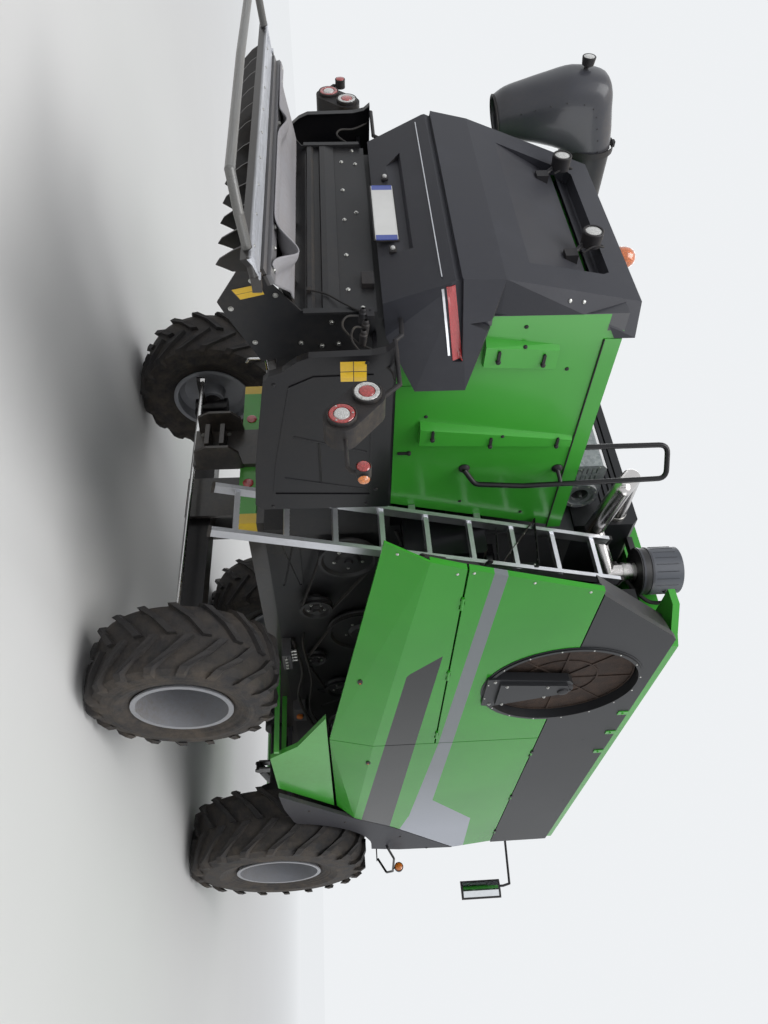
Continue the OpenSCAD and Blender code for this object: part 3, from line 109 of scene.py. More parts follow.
class Shader:
    """Builds a node material with few words."""
    def __init__(self, name, rough=0.5, metal=0.0, coat=0.0, spec=0.5):
        self.m = bpy.data.materials.new(name)
        self.m.use_nodes = True
        self.t = self.m.node_tree
        self.p = self.t.nodes["Principled BSDF"]
        for k, v in (("Roughness", rough), ("Metallic", metal), ("Coat Weight", coat), ("Coat Roughness", 0.12),
                     ("Specular IOR Level", spec)):
            self.p.inputs[k].default_value = v
        self.co = self.n("ShaderNodeTexCoord").outputs["Object"]
        self.bumps = []

    def n(self, kind, props=(), **ins):
        return add(self.t, kind, props, **ins)

    def put(self, socket, v):
        put(self.t, self.p.inputs[socket], v)

    def noise(self, scale, detail=4.0, rough=0.55, stretch=None):
        c = self.n("ShaderNodeMapping", i0=self.co, i3=stretch).outputs[0] if stretch else self.co
        return self.n("ShaderNodeTexNoise", Vector=c, Scale=scale, Detail=detail, Roughness=rough).outputs["Fac"]

    def patches(self, lo, hi, low=0.0, high=1.0, scale=0.9, detail=3.0, rough=0.55):
        """Soft patches: noise between two levels."""
        return self.ramp(self.noise(scale, detail, rough), lo, hi, low, high)

    def scuffs(self, most):
        return self.ramp(self.noise(9.0, 8.0, 0.7, (0.5, 0.5, 1.6)), 0.66, 0.78, 0.0, most)

    def cells(self, scale, out="Distance"):
        return self.n("ShaderNodeTexVoronoi", Vector=self.co, Scale=scale).outputs[out]

    def ramp(self, fac, a, b, lo=0.0, hi=1.0):
        return self.n("ShaderNodeMapRange", {"clamp": True}, Value=fac, From_Min=a, From_Max=b,
                      To_Min=lo, To_Max=hi).outputs[0]

    def math(self, op, a, b=0.0, c=0.0):
        return self.n("ShaderNodeMath", {"operation": op}, i0=a, i1=b, i2=c).outputs[0]

    def mul(self, a, *more):
        for b in more:
            a = self.math("MULTIPLY", a, b)
        return a

    def wave(self, v, rate):
        return self.math("SINE", self.mul(v, rate))

    def zone(self, v, lo, hi, edge=0.0005):
        """1 where v lies between two values."""
        return self.mul(self.ramp(v, lo - edge, lo + edge), self.ramp(v, hi + edge, hi - edge))

    def mix(self, fac, a, b):
        return self.n("ShaderNodeMix", {"data_type": "RGBA"}, i0=fac, i6=a, i7=b).outputs[2]

    def split(self, vector):
        return self.n("ShaderNodeSeparateXYZ", Vector=vector).outputs[:3]

    def xyz(self):
        return self.split(self.co)

    def facing_up(self):
        return self.split(self.n("ShaderNodeNewGeometry").outputs["Normal"])[2]

    def bump(self, height, strength, dist):
        self.bumps.append((height, strength, dist))

    def done(self, colour, rough=None):
        self.put("Base Color", colour)
        if rough is not None:
            self.put("Roughness", rough)
        last = None
        for h, s, d in self.bumps:
            b = self.n("ShaderNodeBump", Height=h, Strength=s, Distance=d)
            if last is not None:
                put(self.t, b.inputs["Normal"], last)
            last = b.outputs[0]
        if last is not None:
            self.put("Normal", last)
        return self.m


def shade(c, factor, plus=0.0):
    """A colour made darker or lighter."""
    return tuple(min(1.0, v * factor + plus) for v in c)


def dusted(s, colour, low=0.3, high=1.9, most=0.75, least=0.06):
    """Dust that lies thicker towards the ground and on faces that look up, in patches."""
    fall = s.ramp(s.xyz()[2], low, high, most, least)
    lying = s.ramp(s.facing_up(), 0.3, 0.95, 0.0, 0.35)
    spread = s.mul(s.patches(0.30, 0.72, scale=2.3, detail=6.0, rough=0.65),
                   s.patches(0.18, 0.8, scale=34.0, detail=3.0, rough=0.7))
    amount = s.mul(s.math("ADD", fall, lying), spread)
    return s.mix(amount, colour, (0.20, 0.155, 0.105)), amount


def paint(name, base, deep, rough=0.30, coat=0.5, low=0.3, high=1.9, most=0.75, least=0.05, peel=0.35, zones=()):
    """Sprayed paint: a slight drift of tone, fine orange peel, scuffs and dust."""
    s = Shader(name, rough, 0.0, coat, 0.28)
    scuff = s.scuffs(0.25)
    tone = s.mix(scuff, s.mix(s.patches(0.35, 0.7), base, deep), shade(base, 1.5, 0.03))
    x, y, z = s.xyz()
    for colour, x_to, z_from, z_to in zones:
        tone = s.mix(s.mul(s.zone(x, -9.0, x_to), s.zone(z, z_from, z_to)), tone, colour)
    colour, amount = dusted(s, tone, low, high, most, least)
    s.bump(s.noise(420.0, 2.0), 0.06 * peel, 0.002)
    s.bump(s.noise(1.7, 2.0), 0.10, 0.012)
    return s.done(colour, s.math("ADD", s.ramp(amount, 0.0, 0.6, rough, 0.85), s.ramp(scuff, 0.0, 0.25, 0.0, 0.15)))


def grained(name, base, rough=0.55, low=0.3, high=2.2, most=0.6, least=0.10):
    """Moulded plastic with a fine leather grain and pale rubbed patches."""
    s = Shader(name, rough, 0.0, 0.0, 0.24)
    tone = s.mix(s.patches(0.52, 0.75, 0.0, 0.18, 3.1, 7.0, 0.7), base, shade(base, 1.9, 0.015))
    colour, amount = dusted(s, tone, low, high, most, least)
    s.bump(s.cells(520.0), 0.12, 0.0015)
    s.bump(s.noise(2.2, 2.0), 0.12, 0.012)
    return s.done(colour, s.ramp(amount, 0.0, 0.6, rough, 0.9))


def metal(name, base, rough=0.35, grain=(1.0, 1.0, 40.0), dirt=0.35, metallic=1.0):
    """Bare or plated metal with a drawn grain, stains and dust."""
    s = Shader(name, rough, metallic)
    g = s.noise(60.0, 3.0, 0.6, grain)
    stain = s.patches(0.50, 0.78, 0.0, dirt, 4.0, 8.0, 0.7)
    tone = s.mix(stain, s.mix(g, shade(base, 0.88), shade(base, 1.08)), (0.10, 0.08, 0.06))
    colour, amount = dusted(s, tone, 0.3, 1.8, 0.35, 0.04)
    s.bump(g, 0.10, 0.001)
    worn = s.ramp(g, 0.2, 0.8, rough - 0.06, rough + 0.10)
    return s.done(colour, s.math("ADD", worn, s.ramp(amount, 0.0, 0.5, 0.0, 0.4)))


def rubber(name, base, centre=None, radius=1.0, seat=0.5):
    """Tyre rubber: dusty flanks, clean worn lug tops, mould rings on the flanks."""
    s = Shader(name, 0.85, 0.0, 0.0, 0.18)
    fine = s.noise(60.0, 6.0, 0.7)
    clods = s.patches(0.38, 0.68, scale=7.0, detail=8.0, rough=0.75)
    tone = s.mix(fine, shade(base, 0.7), shade(base, 1.25))
    if centre is None:
        colour, amount = dusted(s, tone, 0.2, 2.0, 0.5, 0.2)
    else:
        away = s.n("ShaderNodeVectorMath", {"operation": "SUBTRACT"}, i0=s.co, i1=tuple(centre)).outputs[0]
        x, y, z = s.split(away)
        rr = s.math("SQRT", s.math("ADD", s.mul(x, x), s.mul(z, z)))
        amount = s.mul(clods, s.ramp(rr, radius - 0.075, radius - 0.01, 0.42, 0.08))
        colour = s.mix(amount, tone, (0.17, 0.135, 0.10))
        flank = s.zone(rr, seat + 0.04, seat + 0.16, 0.01)
        s.bump(s.mul(s.wave(rr, 190.0), flank), 0.25, 0.004)
    s.bump(fine, 0.35, 0.004)
    s.bump(clods, 0.30, 0.008)
    return s.done(colour, s.ramp(amount, 0.0, 0.8, 0.62, 0.95))


def lens(name, colour, cell=170.0, rough=0.08):
    """Moulded lamp lens with small prisms behind a clear coat."""
    s = Shader(name, rough, 0.0, 1.0)
    v = s.cells(cell)
    tone = s.mix(s.ramp(v, 0.0, 0.6), shade(colour, 1.25, 0.02), shade(colour, 0.6))
    dirty, amount = dusted(s, tone, 0.5, 2.2, 0.25, 0.05)
    s.bump(v, 0.35, 0.002)
    return s.done(dirty, s.ramp(amount, 0.0, 0.5, rough, 0.5))


def sticker(name, cols, rows):
    """A blank yellow sticker with a dark frame and dividing lines, soiled at its edges."""
    base, ink = (0.80, 0.50, 0.012), (0.02, 0.018, 0.015)
    s = Shader(name, 0.38, 0.0, 0.3)
    uv = s.split(s.n("ShaderNodeTexCoord").outputs["UV"])
    line = 0.0
    for along, n in zip(uv, (cols, rows)):
        edge = s.math("ABSOLUTE", s.math("SUBTRACT", s.math("FRACT", s.mul(along, float(n))), 0.5))
        line = s.math("MAXIMUM", s.ramp(edge, 0.46, 0.475), line)
    fade = s.patches(0.35, 0.7, 0.0, 0.25, 90.0, 5.0)
    tone = s.mix(line, s.mix(fade, base, shade(base, 0.75)), ink)
    return s.done(dusted(s, tone, 0.4, 2.2, 0.35, 0.05)[0])


def mesh_screen(name):
    """Perforated brown sheet with chaff caught in it; its holes are painted near-black, painted shade of the space
    behind the sheet.
    """
    s = Shader(name, 0.8, 0.2, 0.0, 0.3)
    x, y, z = s.xyz()
    hole = s.mul(s.wave(x, 900.0), s.wave(z, 900.0))
    chaff = s.patches(0.42, 0.72, scale=12.0, detail=8.0, rough=0.75)
    # painted shade: the hole spots get near-black in place of the shaded space seen through them
    tone = s.mix(s.ramp(hole, 0.0, 0.5), (0.045, 0.032, 0.026), (0.010, 0.008, 0.008))
    s.bump(hole, 0.3, 0.002)
    s.bump(chaff, 0.25, 0.003)
    return s.done(s.mix(s.mul(chaff, 0.45), tone, (0.11, 0.066, 0.045)))


def green_panel(name):
    """The green paint with the dark and the grey stripe of the side panels."""
    s = Shader(name, 0.30, 0.0, 0.06, 0.24)
    x, y, z = s.xyz()

    def inside(*pts):
        """1 inside a convex outline that runs counter-clockwise, seen with X to the right and Z up."""
        out = None
        for (ax, az), (bx, bz) in zip(pts, pts[1:] + pts[:1]):
            ax, bx = ax - XM, bx - XM
            n = math.hypot(bx - ax, bz - az)
            u, v = -(bz - az) / n, (bx - ax) / n
            d = s.math("ADD", s.mul(x, u), s.math("MULTIPLY_ADD", z, v, -(ax * u + az * v)))
            e = s.ramp(d, -0.0008, 0.0008)
            out = e if out is None else s.math("MINIMUM", out, e)
        return out

    dark = inside((-0.115, 2.068), (-0.075, 2.049), (3.3, 1.722), (3.3, 2.026), (-0.349, 2.264))
    grey = inside((-1.5, 2.476), (1.1, 2.349), (1.1, 2.457), (-1.5, 2.552))
    front = s.math("MAXIMUM", inside((1.1, 2.349), (2.95, 2.205), (2.95, 2.360), (2.6, 2.395), (1.1, 2.457)),
                   inside((2.45, 2.38), (2.95, 2.20), (4.2, 1.98), (4.2, 2.845), (3.10, 2.815)))
    pale = s.mix(s.ramp(x, 1.6 - XM, 3.4 - XM), (0.165, 0.18, 0.195), (0.30, 0.32, 0.37))
    # the same green paint as the lighter green used elsewhere, kept deeper here: the two greens differ as painted
    # light and shade
    tone = s.mix(s.patches(0.35, 0.7), (0.030, 0.275, 0.018), (0.021, 0.225, 0.013))
    for where, colour in ((grey, (0.150, 0.165, 0.175)), (front, pale), (dark, (0.008, 0.0085, 0.009))):
        tone = s.mix(where, tone, colour)
    plain_green = s.math("SUBTRACT", 1.0, s.math("MAXIMUM", dark, grey))
    tone = s.mix(s.mul(s.scuffs(0.2), plain_green), tone, (0.07, 0.36, 0.06))
    colour, amount = dusted(s, tone, 1.3, 2.3, 0.14, 0.01)
    s.bump(s.noise(420.0, 2.0), 0.02, 0.002)
    s.bump(s.noise(1.3, 2.0), 0.12, 0.014)
    return s.done(colour, s.ramp(amount, 0.0, 0.6, 0.20, 0.8))


def banded(name, base, bands, rough=0.35, coat=0.4):
    """Paint in zones: a colour, and the axis and the two values each span lies between."""
    s = Shader(name, rough, 0.0, coat)
    along = dict(zip("xyz", s.xyz()))
    along["|y|"] = s.math("ABSOLUTE", along["y"])
    tone = s.mix(s.patches(0.35, 0.7, scale=1.5, detail=4.0), base, shade(base, 0.75))
    for colour, *spans in bands:
        tone = s.mix(s.mul(*(s.zone(along[axis], lo, hi) for axis, lo, hi in spans)), tone, colour)
    colour, amount = dusted(s, tone, 0.3, 2.0, 0.55, 0.06)
    s.bump(s.noise(300.0, 3.0), 0.08, 0.002)
    return s.done(colour, s.ramp(amount, 0.0, 0.6, rough, 0.85))


def cloth(name, base, thread=1400.0):
    """Woven seat cover."""
    s = Shader(name, 0.85, 0.0, 0.0, 0.25)
    s.p.inputs["Sheen Weight"].default_value = 0.35
    x, y, z = s.xyz()
    weave = s.mul(s.wave(s.math("ADD", x, z), thread), s.wave(y, thread))
    s.bump(weave, 0.4, 0.001)
    return s.done(dusted(s, s.mix(s.ramp(weave, -1.0, 1.0), shade(base, 0.6), base), 0.3, 2.0, 0.2, 0.08)[0])


def tailboard_paint(name):
    """Black board; its strip has a grey top, and the tray behind the ledge is bare rolled aluminium."""
    s = Shader(name, 0.35, 0.0, 0.2)
    x, y, z = s.xyz()
    dx, dz = s.math("ADD", x, 2.440 + XM), s.math("ADD", z, -1.470)
    u = s.math("MULTIPLY_ADD", dx, 0.9583, s.mul(dz, 0.2857))      # along the board
    w = s.math("MULTIPLY_ADD", dx, -0.2857, s.mul(dz, 0.9583))     # above the board
    streak = s.noise(40.0, 4.0, 0.6, (6.0, 0.12, 6.0))
    streaks = s.ramp(streak, 0.3, 0.7)
    tone = s.mix(s.patches(0.35, 0.7, scale=1.7, detail=4.0), (0.010, 0.010, 0.012), (0.018, 0.017, 0.018))
    grey = s.mul(s.zone(u, -0.396, -0.300), s.ramp(w, 0.0245, 0.0255), s.ramp(w, 0.0250, 0.0452, 0.55, 1.0))
    tray = s.mul(s.zone(u, -0.516, -0.393), s.ramp(w, 0.0110, 0.0118))
    lip = s.mul(s.zone(u, -0.529, -0.514), s.ramp(w, 0.020, 0.033))
    bare = s.math("MAXIMUM", tray, lip)
    guard = s.mul(s.ramp(u, -0.534, -0.536), s.ramp(w, -0.20, -0.19))
    for where, colour in ((grey, (0.17, 0.17, 0.18)), (bare, s.mix(streaks, (0.34, 0.35, 0.38), (0.66, 0.68, 0.72))),
                          (guard, s.mix(streaks, (0.085, 0.085, 0.082), (0.14, 0.14, 0.135)))):
        tone = s.mix(where, tone, colour)
    colour, amount = dusted(s, tone, 0.3, 1.9, 0.4, 0.05)
    s.put("Metallic", s.mul(bare, 0.35))
    s.bump(streak, 0.15, 0.002)
    s.bump(s.noise(1.9, 2.0), 0.15, 0.010)
    return s.done(colour, s.ramp(amount, 0.0, 0.5, 0.33, 0.8))


def intake_paint(name):
    """Bright steel pipe; the cleaner on top is charcoal over a black band."""
    s = Shader(name, 0.25, 1.0, 0.0)
    x, y, z = s.xyz()
    top = s.ramp(z, 3.6465, 3.6475)
    g = s.noise(60.0, 3.0, 0.6, (1.0, 1.0, 30.0))
    stain = s.patches(0.50, 0.78, 0.0, 0.35, 4.0, 8.0, 0.7)
    charcoal = s.mix(s.patches(0.3, 0.7, scale=1.9, detail=5.0), (0.070, 0.076, 0.092), (0.045, 0.050, 0.062))
    tone = s.mix(g, (0.50, 0.48, 0.47), (0.66, 0.64, 0.63))
    for where, colour in ((stain, (0.16, 0.12, 0.09)), (top, charcoal),
                          (s.mul(top, s.ramp(z, 3.7205, 3.7195)), (0.012, 0.012, 0.014))):
        tone = s.mix(where, tone, colour)
    s.put("Metallic", s.math("SUBTRACT", 1.0, top))
    s.bump(g, 0.12, 0.001)
    return s.done(dusted(s, tone, 0.3, 1.8, 0.3, 0.06)[0], s.ramp(top, 0.0, 1.0, 0.24, 0.48))


def exhaust_paint(name):
    """Galvanised box, rusty in patches; faces that look up are painted brighter than its flanks, painted light from
    above and painted shade on the flanks.
    """
    s = Shader(name, 0.42, 0.35, 0.0)
    flake = s.n("ShaderNodeSeparateColor", Color=s.cells(55.0, "Color")).outputs[0]
    # painted light and shade: upward faces take the bright colour and the flanks the grey one, chosen by the surface's
    # normal
    tone = s.mix(s.ramp(s.facing_up(), 0.2, 0.6), s.mix(flake, (0.20, 0.21, 0.23), (0.30, 0.31, 0.33)),
                 s.mix(flake, (0.50, 0.50, 0.51), (0.62, 0.62, 0.63)))
    rust = s.patches(0.60, 0.78, 0.0, 0.5, 6.0, 8.0, 0.7)
    s.bump(s.noise(30.0, 4.0), 0.10, 0.003)
    return s.done(dusted(s, s.mix(rust, tone, (0.13, 0.065, 0.035)), 0.3, 1.8, 0.3, 0.05)[0],
                  s.ramp(rust, 0.0, 0.5, 0.40, 0.8))


def tinted_glass(name):
    s = Shader(name, 0.03)
    s.p.inputs["Transmission Weight"].default_value = 1.0
    s.p.inputs["IOR"].default_value = 1.45
    return s.done((0.42, 0.52, 0.50), s.patches(0.4, 0.8, 0.02, 0.12, 5.0, 6.0))


# painted light: the machine's one green paint is kept lighter here than on the side panels in green_panel, to offset
# the shade on the straw hood
GREEN_LIGHTENED = ((0.050, 0.330, 0.035), (0.036, 0.275, 0.026), 0.28, 0.3, 0.9, 2.4, 0.30, 0.02)
CHARCOAL, PLATE_BLUE = (0.028, 0.029, 0.036), (0.03, 0.06, 0.30)
BAR_X, BAR_Z = ("x", -0.655 - XM, -0.545 - XM), ("z", 0.980, 1.110)
EVEN = (1.0, 1.0, 1.0)
M = {
    "green": paint("green_paint", *GREEN_LIGHTENED),
    # dark where the rear hood's flange covers the straw hood's edge
    "green_hood": paint("green_hood", *GREEN_LIGHTENED, zones=[
        (CHARCOAL, -3.846, 2.3, 3.9), (CHARCOAL, -3.745, 3.0, 3.9), (CHARCOAL, -3.79, 2.3, 2.42)]),
    "dark": paint("dark_paint", (0.017, 0.018, 0.021), (0.011, 0.012, 0.014), 0.42, 0.0, 0.4, 2.3, 0.28, 0.03),
    "black": paint("black_paint", (0.006, 0.006, 0.008), (0.004, 0.004, 0.005), 0.34, 0.08, 0.3, 2.0, 0.12, 0.02),
    "plastic": grained("charcoal_plastic", CHARCOAL, 0.5, 0.3, 2.2, 0.25, 0.03),
    "plastic_black": grained("black_plastic", (0.016, 0.016, 0.019), 0.5),
    "rim": paint("rim_silver", (0.30, 0.31, 0.34), (0.24, 0.25, 0.27), 0.38, 0.25, 0.2, 2.2, 0.50, 0.15),
    "alu": metal("aluminium", (0.62, 0.63, 0.66), 0.36, (1.0, 1.0, 30.0), 0.25),
    "iron": metal("cast_iron", (0.13, 0.13, 0.14), 0.55, EVEN, 0.5, 0.7),
    "flap": paint("grey_rubber_sheet", (0.29, 0.285, 0.30), (0.22, 0.215, 0.23), 0.55, 0.0, 0.3, 1.6, 0.35, 0.10, 1.5),
    "rubber": paint("black_rubber", (0.020, 0.020, 0.021), (0.014, 0.014, 0.015), 0.70, 0.0, 0.4, 2.2, 0.4, 0.08, 1.5),
    "zinc": metal("zinc_bolts", (0.48, 0.48, 0.46), 0.32, EVEN, 0.3),
    "red": lens("red_lens", (0.42, 0.020, 0.018)),
    "clear": lens("clear_lens", (0.62, 0.62, 0.60), 240.0, 0.05),
    "amber": lens("amber_lens", (0.75, 0.20, 0.01)),
    "beacon": lens("orange_lens", (0.72, 0.17, 0.035), 130.0, 0.12),
    "reflector": lens("red_reflector", (0.50, 0.030, 0.035), 320.0, 0.15),
    "sticker": sticker("yellow_sticker", 1, 2),
    "sticker4": sticker("yellow_sticker_small", 2, 2),
    "plate": banded("plate_white", (0.72, 0.72, 0.70), [
        (PLATE_BLUE, ("y", 0.150, 0.200), ("z", 1.884, 1.992)), (PLATE_BLUE, ("y", -0.310, -0.262), ("z", 1.884, 1.992))]),
    "screen": mesh_screen("screen_mesh"),
    "panel": green_panel("green_panels"),
    "lid": paint("charcoal_plastic_gloss", (0.048, 0.050, 0.060), (0.036, 0.038, 0.046), 0.36, 0.2, 0.4, 2.3, 0.4, 0.10),
    "seat_cloth": cloth("seat_cloth", (0.055, 0.058, 0.066)),
    "seat_piping": paint("seat_piping", (0.020, 0.020, 0.022), (0.014, 0.014, 0.015), 0.6, 0.0),
    "orange": paint("orange_cap", (0.62, 0.17, 0.02), (0.5, 0.12, 0.015), 0.45, 0.1),
    "mirror": metal("mirror_glass", (0.78, 0.80, 0.82), 0.06, EVEN, 0.10),
    "blue": paint("blue_cap", (0.03, 0.12, 0.42), (0.02, 0.09, 0.33), 0.4, 0.2),
    "screen_glass": paint("display_glass", (0.010, 0.012, 0.014), (0.008, 0.009, 0.011), 0.12, 0.6),
    "chrome": metal("bright_rod", (0.68, 0.68, 0.68), 0.16, (1.0, 1.0, 30.0), 0.2),
    "tailboard": tailboard_paint("tailboard_zones"),
    # black chassis with a green cross bar behind the axle, whose ends are yellow
    "chassis": banded("chassis_zones", (0.010, 0.010, 0.012), [
        ((0.045, 0.300, 0.030), BAR_X, BAR_Z, ("|y|", -0.01, 0.645)),
        ((0.62, 0.42, 0.02), BAR_X, BAR_Z, ("|y|", 0.56, 0.645))]),
    "intake": intake_paint("intake_zones"),
    "exhaust": exhaust_paint("exhaust_rust_and_painted_light"),
    "glass": tinted_glass("tinted_glass"),
    "front_tyre": rubber("front_tyre_rubber", (0.030, 0.029, 0.030), P(3900, 0, 902), 0.902, 0.4065),
    "rear_tyre": rubber("rear_tyre_rubber", (0.030, 0.029, 0.030), P(0, 0, 611), 0.611, 0.305),
}
for mat, names in {
    "green_hood": "straw_hood",
    "green": "grain_tank tank_roof tank_lid_right tank_lid_left feeder_house skirts",
    "panel": "upper_panels right_lower_door right_front_door left_lower_door left_front_door",
    "dark": "front_axle threshing_body chopper_housing side_band left_deck unload_turret unload_tube cab_platform "
            "screen_frame engine_cowl",
    "plastic": "rear_hood fenders cab_frame cab_door",
    "plastic_black": "unload_spout mirrors rear_lamps cab_interior",
    "black": "rear_axle side_frame side_covers hand_rail cooler fuel_tank lift_barrels right_knuckle left_knuckle "
             "rear_cable rubber_flap",
    "rim": "front_right_rim front_left_rim rear_right_rim rear_left_rim",
    "front_tyre": "front_right_tyre front_left_tyre", "rear_tyre": "rear_right_tyre rear_left_tyre",
    "chrome": "lift_rods tie_rod", "iron": "engine", "alu": "ladder", "screen": "dust_screen",
    "tailboard": "tailboard", "chassis": "chassis_frame", "intake": "air_intake", "exhaust": "exhaust_box",
    "glass": "cab_glass cab_door_glass",
}.items():
    for n in names.split():
        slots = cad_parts[n].data.materials
        slots.clear()
        slots.append(M[mat])


# Helpers for the pieces. Profiles, radii, sections and outlines are in millimetres, vectors in metres.
bm = bmesh.new()    # takes the faces of the piece at hand


def taken(name):
    """The mesh of the piece at hand; the next piece starts empty."""
    global bm
    me = bpy.data.meshes.new(name)
    bm.to_mesh(me)
    bm.free()
    bm = bmesh.new()
    return me


def piece(name, mats, body=BODY, angle=35.0, bevel=0.0):
    """Makes the piece at hand ride on a body; mats names the slots in M."""
    bmesh.ops.recalc_face_normals(bm, faces=bm.faces)
    me = taken(name)
    me.polygons.foreach_set("use_smooth", [True] * len(me.polygons))
    me.set_sharp_from_angle(angle=math.radians(angle))
    for m in mats.split():
        me.materials.append(M[m])
    ob = placed(name, me)
    if bevel:
        b = ob.modifiers.new("edges", "BEVEL")
        b.width, b.segments, b.limit_method, b.angle_limit = bevel / 1000, 2, "ANGLE", math.radians(30)
    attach(ob, body)
    return ob


def thicken(ob, thick, offset=1.0):
    s = ob.modifiers.new("sheet", "SOLIDIFY")
    s.thickness, s.offset = thick / 1000, offset


def circle(n, start=0.0):
    """Cosine and sine of n even steps round a circle, from an angle in degrees."""
    return [(math.cos(a), math.sin(a)) for a in (math.radians(start) + TAU * k / n for k in range(n))]


def corners(a, b):
    return [(-a, -b), (a, -b), (a, b), (-a, b)]


def pts(*triples, s=1):
    """Points in millimetres; s = -1 is the twin on the right of points given for the left side."""
    return [P(x, s * y, z) for x, y, z in triples]


def wall(s, y, *xz):
    """Points on a side, at one distance from the middle."""
    return [P(x, s * y, z) for x, z in xz]


def line(a, b, n):
    return [a.lerp(b, k / n) for k in range(n + 1)]


def frame_of(axis):
    z = Vector(axis).normalized()
    x = (Vector(UP) if abs(z.z) < 0.9 else Vector(FORWARD)).cross(z).normalized()
    return x, z.cross(x), z


def skin(rows, mat=0, ring=True, loop=False):
    """Quads between rows of points; ring closes each row, loop joins the last row to the first."""
    rows = [[bm.verts.new(p) for p in row] for row in rows]
    for a, b in zip(rows, rows[1:] + rows[:1] if loop else rows[1:]):
        for quad in zip(a, a[1:] + a[:1] if ring else a[1:], b[1:] + b[:1] if ring else b[1:], b):
            bm.faces.new(quad).material_index = mat
    return rows


def lathe(profile, at, axis, turns=24, mat=0):
    """A turned form from pairs of height along the axis and radius."""
    x, y, z = frame_of(axis)
    rows = []
    for h, r in profile:
        c = Vector(at) + z * (h / 1000)
        rows.append([bm.verts.new(c + (x * a + y * b) * (r / 1000)) for a, b in circle(turns)] if r else [bm.verts.new(c)])
    for a, b in zip(rows, rows[1:]):
        for i in range(turns if len(a) + len(b) > 2 else 0):
            j = (i + 1) % turns
            f = [a[i], b[i], b[j], a[j]] if len(a) == len(b) else [a[0], b[i], b[j]] if len(a) == 1 else [a[i], b[0], a[j]]
            bm.faces.new(f).material_index = mat


def prism(outline, v, mat=0):
    """A flat outline pushed along v."""
    a = [bm.verts.new(p) for p in outline]
    b = [bm.verts.new(p + Vector(v)) for p in outline]
    n = len(a)
    for f in [a[::-1], b] + [[a[i], a[(i + 1) % n], b[(i + 1) % n], b[i]] for i in range(n)]:
        bm.faces.new(f).material_index = mat


def slab(p, q, mat=0):
    """A block between two corners."""
    (x0, x1), (y0, y1), (z0, z1) = (sorted(pair) for pair in zip(p, q))
    prism([Vector((x, y, z0)) for x, y in ((x0, y0), (x1, y0), (x1, y1), (x0, y1))], (0, 0, z1 - z0), mat)


def smooth_path(path, n=8):
    """Catmull-Rom curve through the points."""
    p = [Vector(q) for q in path]
    p = [p[0] * 2 - p[1]] + p + [p[-1] * 2 - p[-2]]
    out = []
    for a, b, c, d in zip(p, p[1:], p[2:], p[3:]):
        for t in (k / n for k in range(n)):
            out.append(0.5 * (2 * b + (c - a) * t + (2 * a - 5 * b + 4 * c - d) * t * t + (3 * b - a - 3 * c + d) * t ** 3))
    return out + [p[-2]]


def filleted(p, r, n=6):
    """The path with each corner rounded to the radius."""
    out = [p[0]]
    for a, b, c in zip(p, p[1:], p[2:]):
        u, v = (a - b).normalized(), (c - b).normalized()
        half = math.acos(max(-1.0, min(1.0, u.dot(v)))) / 2
        d = min(r / 1000 / max(math.tan(half), 1e-3), 0.48 * (a - b).length, 0.48 * (c - b).length)
        s, e = b + u * d, b + v * d
        for t in (k / n for k in range(n + 1)):
            out.append(s * (1 - t) ** 2 + b * 2 * t * (1 - t) + e * t * t)
    return out + [p[-1]]


def tube(p, r=0.0, sides=10, mat=0, closed=False, section=None):
    """A tube, or a bar of the section's points, along a path."""
    n = len(p)
    sec = [(a / 1000, b / 1000) for a, b in section or [(r * a, r * b) for a, b in circle(sides)]]
    t = [((p[(i + 1) % n] if closed else p[min(i + 1, n - 1)]) - (p[i - 1] if closed or i else p[0])).normalized()
         for i in range(n)]
    x = frame_of(t[0])[0]
    rows = []
    for i in range(n):
        x = (x - t[i] * x.dot(t[i])).normalized()
        y = t[i].cross(x)
        rows.append([p[i] + x * a + y * b for a, b in sec])
    rows = skin(rows, mat, loop=closed)
    for end in () if closed else (rows[0][::-1], rows[-1]):
        bm.faces.new(end).material_index = mat


trees = {}


def onto(node, p, d):
    """Where a line through p along d meets a CAD node, and the surface's normal there."""
    if node not in trees:
        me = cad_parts[node].data
        trees[node] = BVHTree.FromPolygons([v.co for v in me.vertices], [tuple(f.vertices) for f in me.polygons])
    d = Vector(d)
    hit, nor = trees[node].ray_cast(p - d * 0.4, d)[:2]
    if hit is None:
        hit, nor = trees[node].find_nearest(p)[:2]
        print(f"ONTO: {node} at {tuple(round(v, 3) for v in p)} isn't met, nearest is {(hit - p).length:.3f} off")
    return hit, -nor if nor.dot(d) > 0 else nor


def patch(name, node, quad, d, mat, thick=1.5, nu=8, nv=4):
    """A thin sheet between four corners that lies just off a CAD surface."""
    a, b, c, e = quad
    uv = bm.loops.layers.uv.new("UVMap")
    spans = [[(i / nu, j / nv) for i in range(nu + 1)] for j in range(nv + 1)]
    met = [[onto(node, (a * (1 - s) + b * s) * (1 - t) + (e * (1 - s) + c * s) * t, d) for s, t in row] for row in spans]
    rows = skin([[hit + nor * 0.0006 for hit, nor in row] for row in met], ring=False)
    place = {v: at for row, span in zip(rows, spans) for v, at in zip(row, span)}
    for f in bm.faces:
        for loop in f.loops:
            loop[uv].uv = place[loop.vert]
    corner = rows[0][0].co
    if (rows[0][1].co - corner).cross(rows[1][0].co - corner).dot(Vector(d)) > 0:
        bmesh.ops.reverse_faces(bm, faces=bm.faces)
    me = taken(name)
    me.materials.append(M[mat])
    ob = placed(name, me)
    thicken(ob, thick)
    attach(ob, BODY)


